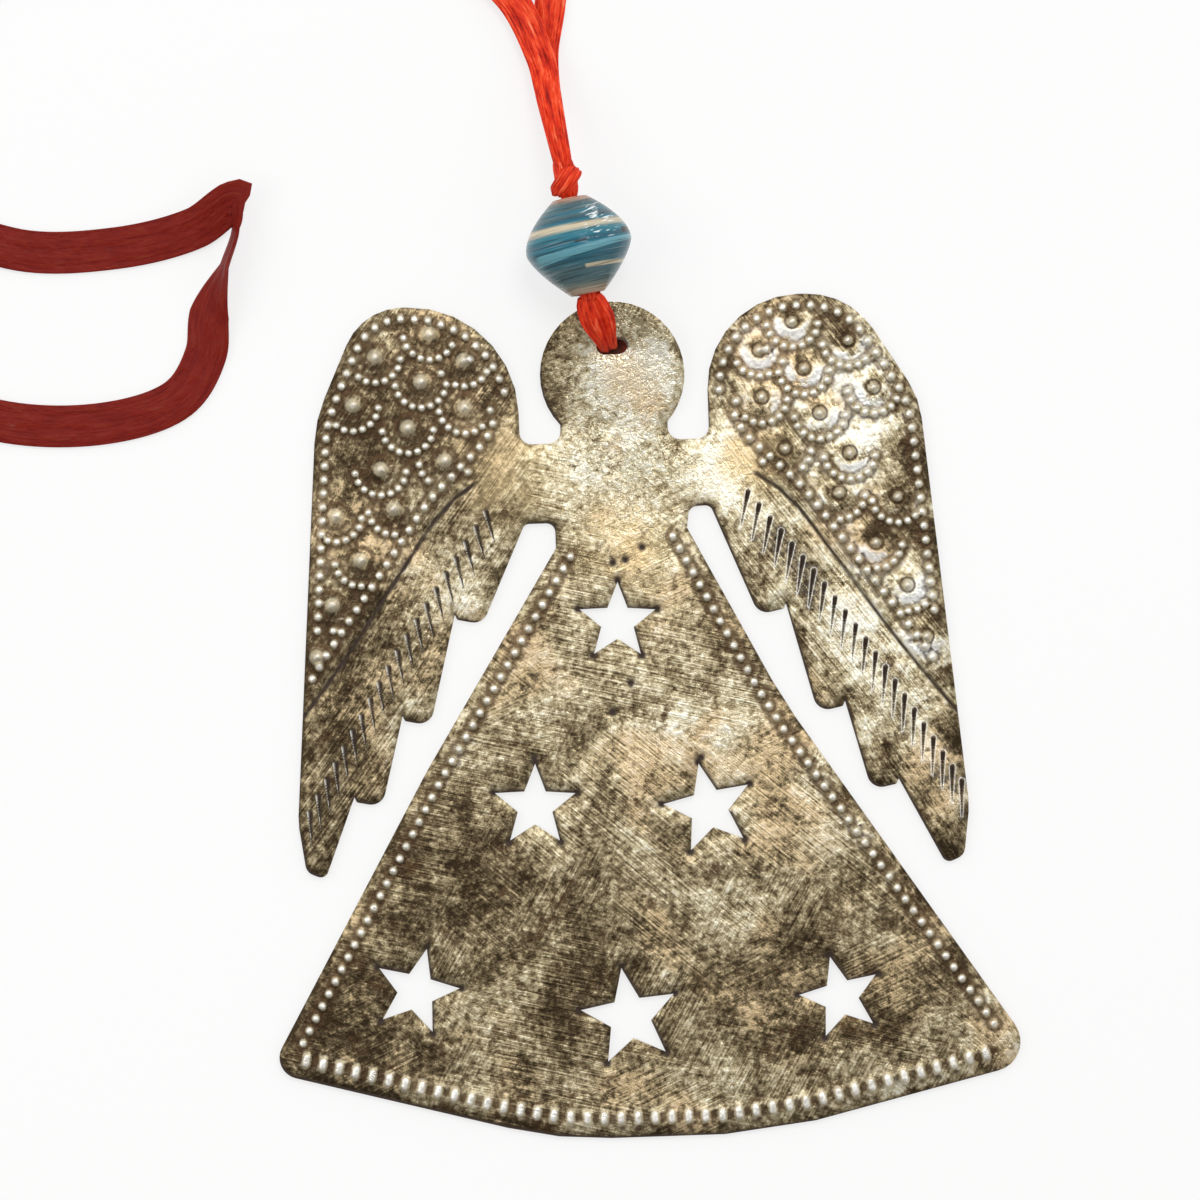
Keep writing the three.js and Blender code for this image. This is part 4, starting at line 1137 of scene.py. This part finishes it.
def worked_sheet(finish):
    front, back, marks = face_heights(flat)
    count = len(flat)
    vertices = np.concatenate([np.column_stack([flat, front]), np.column_stack([flat, back])]) * MM
    sides = {side: True for a, b, c in triangles.tolist() for side in ((a, b), (b, c), (c, a))}
    walls = [(b, a, a + count, b + count) for a, b in sides if (b, a) not in sides]
    used = np.unique(np.concatenate([triangles.ravel(), triangles.ravel() + count]))
    place = np.full(2 * count, -1)
    place[used] = np.arange(len(used))
    faces = [*place[triangles].tolist(), *place[triangles[:, ::-1] + count].tolist(), *place[walls].tolist()]
    piece = piece_from("worked_sheet", vertices[used], faces, finish)
    kept = {name: np.concatenate([values, 0 * values]) for name, values in marks.items()}
    kept["edge"][count:] = 0.4 * marks["edge"]
    kept["face_down"] = 1 - kept["face_up"]
    for name, values in kept.items():
        layer = piece.data.attributes.new(name, "FLOAT", "POINT")
        layer.data.foreach_set("value", values[used].astype(np.float32))
    return piece


print("swell at the middle of the sheet:", round(SWELL * float(swell(0, 0)), 2), "mm")

# %% [markdown]
# ## Punch marks
#
# A punch leaves the same shape wherever it lands, so one Geometry Nodes tree makes every mark: it measures how far
# each vertex is from the nearest centre, raises it by a dome and sinks a ring round it, and keeps both as numbers
# for the finish. It runs once for each kind of mark and is baked into the mesh each time.

# %% Tree of punch marks
RING_AT, RING_WIDE = 1.22, 0.36


def punch_tree():
    tree = bpy.data.node_groups.new("punched marks", "GeometryNodeTree")
    sockets = [
        ("Geometry", "Geometry"), ("Marks", "Object"), ("Side", "String"), ("Radius", "Float"), ("Height", "Float"),
        ("Fullness", "Float"), ("Ring", "Float"), ("Wear", "Float"), ("Material", "Material"),
    ]
    for name, kind in sockets:
        tree.interface.new_socket(name, in_out="INPUT", socket_type="NodeSocket" + kind)
    tree.interface.new_socket("Geometry", in_out="OUTPUT", socket_type="NodeSocketGeometry")
    graph = Graph(tree)

    def kept(name):
        return graph.add("GeometryNodeInputNamedAttribute", {"data_type": "FLOAT"}, {"Name": name})

    given = tree.nodes.new("NodeGroupInput")
    wire = {name: Wire(graph, given.outputs[name]) for name, _ in sockets}
    marks = graph.add("GeometryNodeObjectInfo", None, {"Object": wire["Marks"]}, "Geometry")
    level = graph.add("GeometryNodeInputPosition").vector("MULTIPLY", (1, 1, 0))
    away = graph.add(
        "GeometryNodeProximity", {"target_element": "EDGES"}, {0: marks, "Sample Position": level}, "Distance"
    )
    share = away / wire["Radius"]
    dome = (1 - share * share).at_least(0) ** wire["Fullness"]
    ring = (1 - (share - RING_AT).maths("ABSOLUTE") / RING_WIDE).at_least(0)
    side = kept(wire["Side"])
    rise = (dome * wire["Height"] - ring * ring * wire["Ring"]) * side
    moved = graph.add("GeometryNodeSetPosition", None, {
        "Geometry": wire["Geometry"], "Offset": graph.vector_of(0, 0, rise),
    })
    # crown says where the finish paints highlights on the domes, and ring where it paints shade round them.
    for name, value in (("crown", dome * wire["Wear"]), ("ring", ring)):
        moved = graph.add("GeometryNodeStoreNamedAttribute", {"data_type": "FLOAT", "domain": "POINT"}, {
            "Geometry": moved, "Name": name, "Value": kept(name).at_least(value * side),
        })
    whole = graph.add("GeometryNodeRealizeInstances", None, {"Geometry": moved})
    coated = graph.add("GeometryNodeSetMaterial", None, {"Geometry": whole, "Material": wire["Material"]})
    end = tree.nodes.new("NodeGroupOutput")
    tree.links.new(coated.socket, end.inputs["Geometry"])
    return tree


def bake(piece, tree, **given):
    """Runs the tree on the piece and keeps what it makes."""
    modifier = piece.modifiers.new("nodes", "NODES")
    modifier.node_group = tree
    for item in tree.interface.items_tree:
        if item.in_out == "INPUT" and item.name in given:
            modifier[item.identifier] = given[item.name]
    seen = bpy.context.evaluated_depsgraph_get()
    before = piece.data
    after = bpy.data.meshes.new_from_object(piece.evaluated_get(seen), preserve_all_data_layers=True, depsgraph=seen)
    piece.modifiers.clear()
    piece.data = after
    bpy.data.meshes.remove(before)


def punch(piece, tips, stretch, **given):
    """Punches a mark at every tip, drawn out both ways by its row of stretch, in millimetres."""
    ends = np.concatenate([tips - stretch, tips + stretch])
    mesh = bpy.data.meshes.new("marks")
    count = len(tips)
    mesh.from_pydata([(x * MM, y * MM, 0) for x, y in ends], [(k, k + count) for k in range(count)], [])
    marks = bpy.data.objects.new("marks", mesh)
    bpy.context.scene.collection.objects.link(marks)
    bake(piece, punched_marks, Marks=marks, Material=metal.material, **given)
    bpy.data.objects.remove(marks)
    bpy.data.meshes.remove(mesh)


punched_marks = punch_tree()
print("punched marks:", len(punched_marks.nodes), "nodes")

# %% [markdown]
# ## Worn steel
#
# The steel is bright where it was cleaned and dark with old scale elsewhere. One number, the tone, says how bright
# each place is: broad painted highlights and painted shade where the photograph has them, patches, mottling, speckle,
# and the strokes of a brush, which cross on the skirt and run along the wings. The head and the breast are smoother,
# warmer and finely wrinkled. A ramp turns the tone into a colour, and over it go painted highlights on the crowns of
# the marks, on one wall of the west wedges, beside the east wedges and round the bosses, and painted shade in the
# rings, the wedges, the grooves and the nicks and along the edges.

# %% Steel finish
STEEL = [
    (0.08, (0.045, 0.030, 0.016)), (0.30, (0.16, 0.120, 0.066)), (0.50, (0.42, 0.345, 0.205)),
    (0.68, (0.74, 0.66, 0.46)), (0.90, (0.98, 0.95, 0.82)),
]
# Painted highlights where the gain is positive and painted shade where it is negative: x, y and reach in millimetres,
# and the gain in tone.
PAINTED_HIGHLIGHTS_AND_SHADE = (
    (1, 34, 24, 0.13), (2, 50, 12, 0.24), (31, 46, 20, 0.22), (13, 39, 7, 0.10), (-9, 38, 8, 0.12), (1, 4, 20, 0.05),
    (40, 14, 18, 0.26), (-39, 46, 24, -0.20), (-42, 14, 18, -0.22), (-42, -46, 20, -0.28), (-4, -43, 24, -0.14),
    (5, -16, 15, -0.12), (48, -30, 22, -0.10), (-50, -8, 18, -0.16), (-25, -26, 18, -0.26), (3, 59, 5, 0.07),
    (-38, 3, 8, -0.08), (30, -40, 22, -0.16), (13, -1, 12, 0.14), (14.5, 35, 8, 0.04), (42, -10, 10, -0.12),
    (6.5, 52, 7, 0.30), (33, 34, 16, 0.12), (-16.5, 34, 10, -0.24), (-7, 52, 6, -0.20),
)
WARM_SPOTS = ((3, 51.5, 7), (19, 37, 9), (2, 27, 13))
BRISTLES, WORN_BRISTLES = 3400, 3200
# Browns for rust and for painted shade, and pale colours for painted highlights and sheen, to lay over the ramp.
SHADE_BROWN, OLD_BROWN, RING_SHADE = (0.040, 0.022, 0.013), (0.085, 0.048, 0.024), (0.085, 0.050, 0.027)
GOLD, WARM, SHEEN_WHITE = (0.68, 0.46, 0.24), (0.90, 0.68, 0.36), (0.96, 0.97, 0.97)
CROWN_LIGHT, CROWN_HIGHLIGHT, WEDGE_HIGHLIGHT = (0.60, 0.52, 0.36), (1.0, 0.98, 0.92), (0.95, 0.94, 0.88)


def metal_finish():
    metal = Finish("worked steel")
    patches, field, gold = metal.noise(34, 3), metal.noise(95, 3), metal.noise(60, 2)
    mottle, speckle = metal.noise(190, 6, rough=0.72), metal.noise(900, 5, rough=0.75)
    crossed, turns = metal.noise(22, 2).step(0.42, 0.58), metal.noise(31, 2).step(0.44, 0.56)
    x, y = metal.place.part(0), metal.place.part(1)
    aside, east = x.maths("ABSOLUTE"), x.step(-8 * MM, 14 * MM)
    in_wing = (aside - 7.5 * MM - (30 * MM - y) * 0.555).step(0, 3 * MM) * aside.step(11 * MM, 15 * MM)
    beaten = metal.spot(0, 53, 20).at_least(metal.spot(2, 38, 17))

    body = metal.brushing(14, BRISTLES, 110).toward(metal.brushing(-60, WORN_BRISTLES, 110), crossed)
    other = metal.brushing(-24, BRISTLES, 120).toward(metal.brushing(41, BRISTLES, 120), crossed)
    folded = metal.vector_of(aside, y)
    feathers = metal.brushing(53, BRISTLES, 80, folded)
    feathers = feathers.toward(metal.brushing(70, WORN_BRISTLES, 90, folded), crossed * 0.5)
    scratches = body.toward(other, turns).toward(feathers, in_wing)
    scratch_depth = 1 - beaten * 0.4

    def wrinkle_lines(scale, half):
        return 1 - (metal.noise(scale, 3, rough=0.6) - 0.5).maths("ABSOLUTE").step(0.0, half)

    wrinkled = wrinkle_lines(330, 0.040).at_least(wrinkle_lines(610, 0.045) * 0.8) * beaten
    crown, ring, edge, bright = (metal.kept(name) for name in ("crown", "ring", "edge", "bright"))
    # gleam is a painted sheen round the bosses, strongest in the east wing.
    gleam = metal.kept("gleam") * (0.2 + east * 0.8) * (field + (mottle - 0.5) * 0.7).step(0.38, 0.60)

    tone = 0.46 + (patches - 0.5) * 0.6 + (mottle - 0.5) * (1 - beaten * 0.5) + (speckle - 0.5) * 1.6
    tone = tone + (scratches - 0.5) * 1.05 * scratch_depth + beaten * 0.09 - wrinkled * 0.09
    # The listed spots add painted highlights and painted shade.
    for place_x, place_y, reach, gain in PAINTED_HIGHLIGHTS_AND_SHADE:
        tone = tone + metal.spot(place_x, place_y, reach) * gain
    # Painted sheen round the bosses, and painted shade along the outline and above and left of the bosses.
    tone = tone + gleam * 0.45 - edge * 0.35 + (field - 0.5) * (0.4 + east * in_wing * 1.1)
    tone = tone - metal.kept("shade") * (0.12 + east * 0.16)
    warm = metal.spot(-14, 36, 13) * 0.7
    for place in WARM_SPOTS:
        warm = warm.at_least(metal.spot(*place))
    rust = metal.noise(260, 5, rough=0.75)
    # dark is painted shade in the wedges, the nicks and the grooves, at the edges of the openings and along the
    # outline.
    dark = metal.kept("pit") + metal.kept("groove") * (1.0 + (mottle - 0.5) * 1.5)
    dark = (dark + metal.kept("cut").step(0.15, 0.6) * 0.9 + edge.step(0.50, 0.72) * 0.9).at_most(1)

    colour = metal.ramp(tone, STEEL)
    # Over the ramp: gold and warm tints and rust of the steel, then painted sheen (gleam), painted shade in the rings
    # (ring), painted light on the crowns (crown), painted highlight on the wedges (bright) and painted shade (dark).
    for tint, share in (
        (GOLD, gold.step(0.49, 0.64) * tone.step(0.30, 0.6) * 0.55),
        (WARM, warm * (0.15 + gold.step(0.40, 0.60) * 0.30)),
        (OLD_BROWN, rust.step(0.56, 0.66) * (1 - tone.step(0.45, 0.90)) * 0.8),
        (SHEEN_WHITE, gleam.step(0.15, 0.85) * 0.7),
        (RING_SHADE, ring.step(0.05, 0.75) * (0.76 + (speckle - 0.5) * 1.5)),
        (CROWN_LIGHT, crown.step(0.10, 0.45) * 0.65),
        (CROWN_HIGHLIGHT, crown.step(0.52, 0.96) * (0.85 + (speckle - 0.5) * 2.5)),
        (WEDGE_HIGHLIGHT, bright), (SHADE_BROWN, dark),
    ):
        colour = metal.mix(colour, tint, share)
    relief = metal.bump(mottle, 0.42 * MM)
    relief = metal.bump(speckle * 0.7 + scratches * 1.1 * scratch_depth - wrinkled * 0.9, 0.12 * MM, relief)
    metal.surface(
        Base_Color=colour, Metallic=1 - (dark + bright).at_most(1) * 0.9,
        Roughness=0.30 + (mottle - 0.5) * 0.3 + dark * 0.4, Normal=relief,
    )
    return metal


metal = metal_finish()
print("steel:", len(metal.tree.nodes), "nodes")

# %% The punched sheet
HEM_TOP = -40
HEM_NEAR, HEM_FAR = 2.8, 3.2
HEM_STRETCH = 0.45
SHARP_ANGLE = math.radians(42)


def across_hem():
    """Which of the dots are the hem's, and the way each of those is drawn out, toward the nearest edge."""
    away, which = nearest(row_tips, fine_outline)
    in_hem = (row_tips[:, 1] < HEM_TOP) & (away > HEM_NEAR) & (away < HEM_FAR)
    return in_hem, ((fine_outline[which] - row_tips) / away[:, None] * HEM_STRETCH)[in_hem]


steel = worked_sheet(metal)
in_hem, hem_ways = across_hem()
is_east = boss_tips[:, 0] > 0
ROUND = (0.01, 0.0)
# The last column is how much painted highlight each kind of crown takes.
for tips, ways, side, radius, height, fullness, ring, crown_shine in (
    (boss_tips[is_east], ROUND, "face_up", 0.90, 0.45, 0.9, 0.16, 0.8),
    (boss_tips[~is_east], ROUND, "face_up", 1.60, 0.38, 1.5, 0.0, 0.75),
    (row_tips[~in_hem], ROUND, "face_up", 0.76, 0.46, 0.8, 0.08, 1.0),
    (fine_tips, ROUND, "face_up", 0.68, 0.44, 0.7, 0.10, 1.0),
    (row_tips[in_hem], hem_ways, "face_up", 0.80, 0.46, 0.8, 0.08, 1.0),
    (dimple_tips, ROUND, "face_down", 1.0, 0.45, 1.2, 0.0, 1.0),
):
    punch(
        steel, tips, ways, Side=side, Radius=radius * MM, Height=height * MM, Fullness=fullness, Ring=ring * MM,
        Wear=crown_shine,
    )
steel.data.set_sharp_from_angle(angle=SHARP_ANGLE)
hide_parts("angel_plate")
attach(steel, "plate")
print("sheet:", len(steel.data.polygons), "faces,", int(in_hem.sum()), "dots in the hem")

# %% [markdown]
# ## Table and light
#
# The picture was taken on a white sweep with one broad soft light high on the right and white all round. The metal
# is bright where it faces a lamp and falls away where the sheet bends, so the sky is dimmer overhead than at its
# rim. The floor takes the shadow of the sheet; seen by the camera it is lifted nearly to white.

# %% Floor
FLOOR_HALF, FLOOR_DROP = 1.2, 0.3 * MM
FLOOR_GLOW = 0.7


def pale_floor():
    finish = Finish("white paper sweep")
    finish.surface(Base_Color=(0.93, 0.93, 0.92, 1), Roughness=0.9, Specular_IOR_Level=0.1)
    tree = finish.tree
    rays = tree.nodes.new("ShaderNodeLightPath")
    seen = Wire(finish, rays.outputs["Is Camera Ray"]).at_least(Wire(finish, rays.outputs["Is Glossy Ray"]))
    glow = finish.add("ShaderNodeEmission", None, {"Color": (1, 1, 1, 1), "Strength": 1.0})
    shown = finish.add("ShaderNodeMixShader", None, {
        0: seen * FLOOR_GLOW, 1: Wire(finish, finish.shader.outputs[0]), 2: glow,
    })
    tree.links.new(shown.socket, finish.output.inputs[0])
    corners = [(x * FLOOR_HALF, y * FLOOR_HALF, -FLOOR_DROP) for x, y in ((-1, -1), (1, -1), (1, 1), (-1, 1))]
    return piece_from("table", corners, [(0, 1, 2, 3)], finish, smooth=False)


floor = pale_floor()
print("floor is", round(floor.dimensions.x, 2), "m wide")

# %% Sky and lamps
def soft_sky():
    world = bpy.data.worlds.new("studio")
    bpy.context.scene.world = world
    world.use_nodes = True
    world.node_tree.nodes.clear()
    sky = Graph(world.node_tree)
    way = sky.add("ShaderNodeTexCoord", output="Generated")
    east, north, up = (way.part(axis) for axis in range(3))
    overhead = 1.0 - up.step(0.25, 0.95) * 0.45
    light = overhead * (0.86 + north * 0.30 + east * 0.12)
    glow = sky.add("ShaderNodeBackground", None, {"Color": (1, 1, 1, 1), "Strength": light})
    sky.add("ShaderNodeOutputWorld", None, {"Surface": glow}, None)


def soft_lamp(name, place, aim, size, watts):
    data = bpy.data.lights.new(name, "AREA")
    data.shape = "SQUARE"
    data.size = size
    data.energy = watts
    lamp = bpy.data.objects.new(name, data)
    lamp.location = place
    lamp.rotation_euler = (Vector(place) - Vector(aim)).to_track_quat("Z", "Y").to_euler()
    bpy.context.scene.collection.objects.link(lamp)


soft_sky()
soft_lamp("key", (0.14, 0.38, 0.80), (0, 0.02, 0), 0.30, 2.2)
soft_lamp("fill", (-0.5, 0.1, 0.6), (0, 0, 0), 0.5, 1.2)
print("light is set")
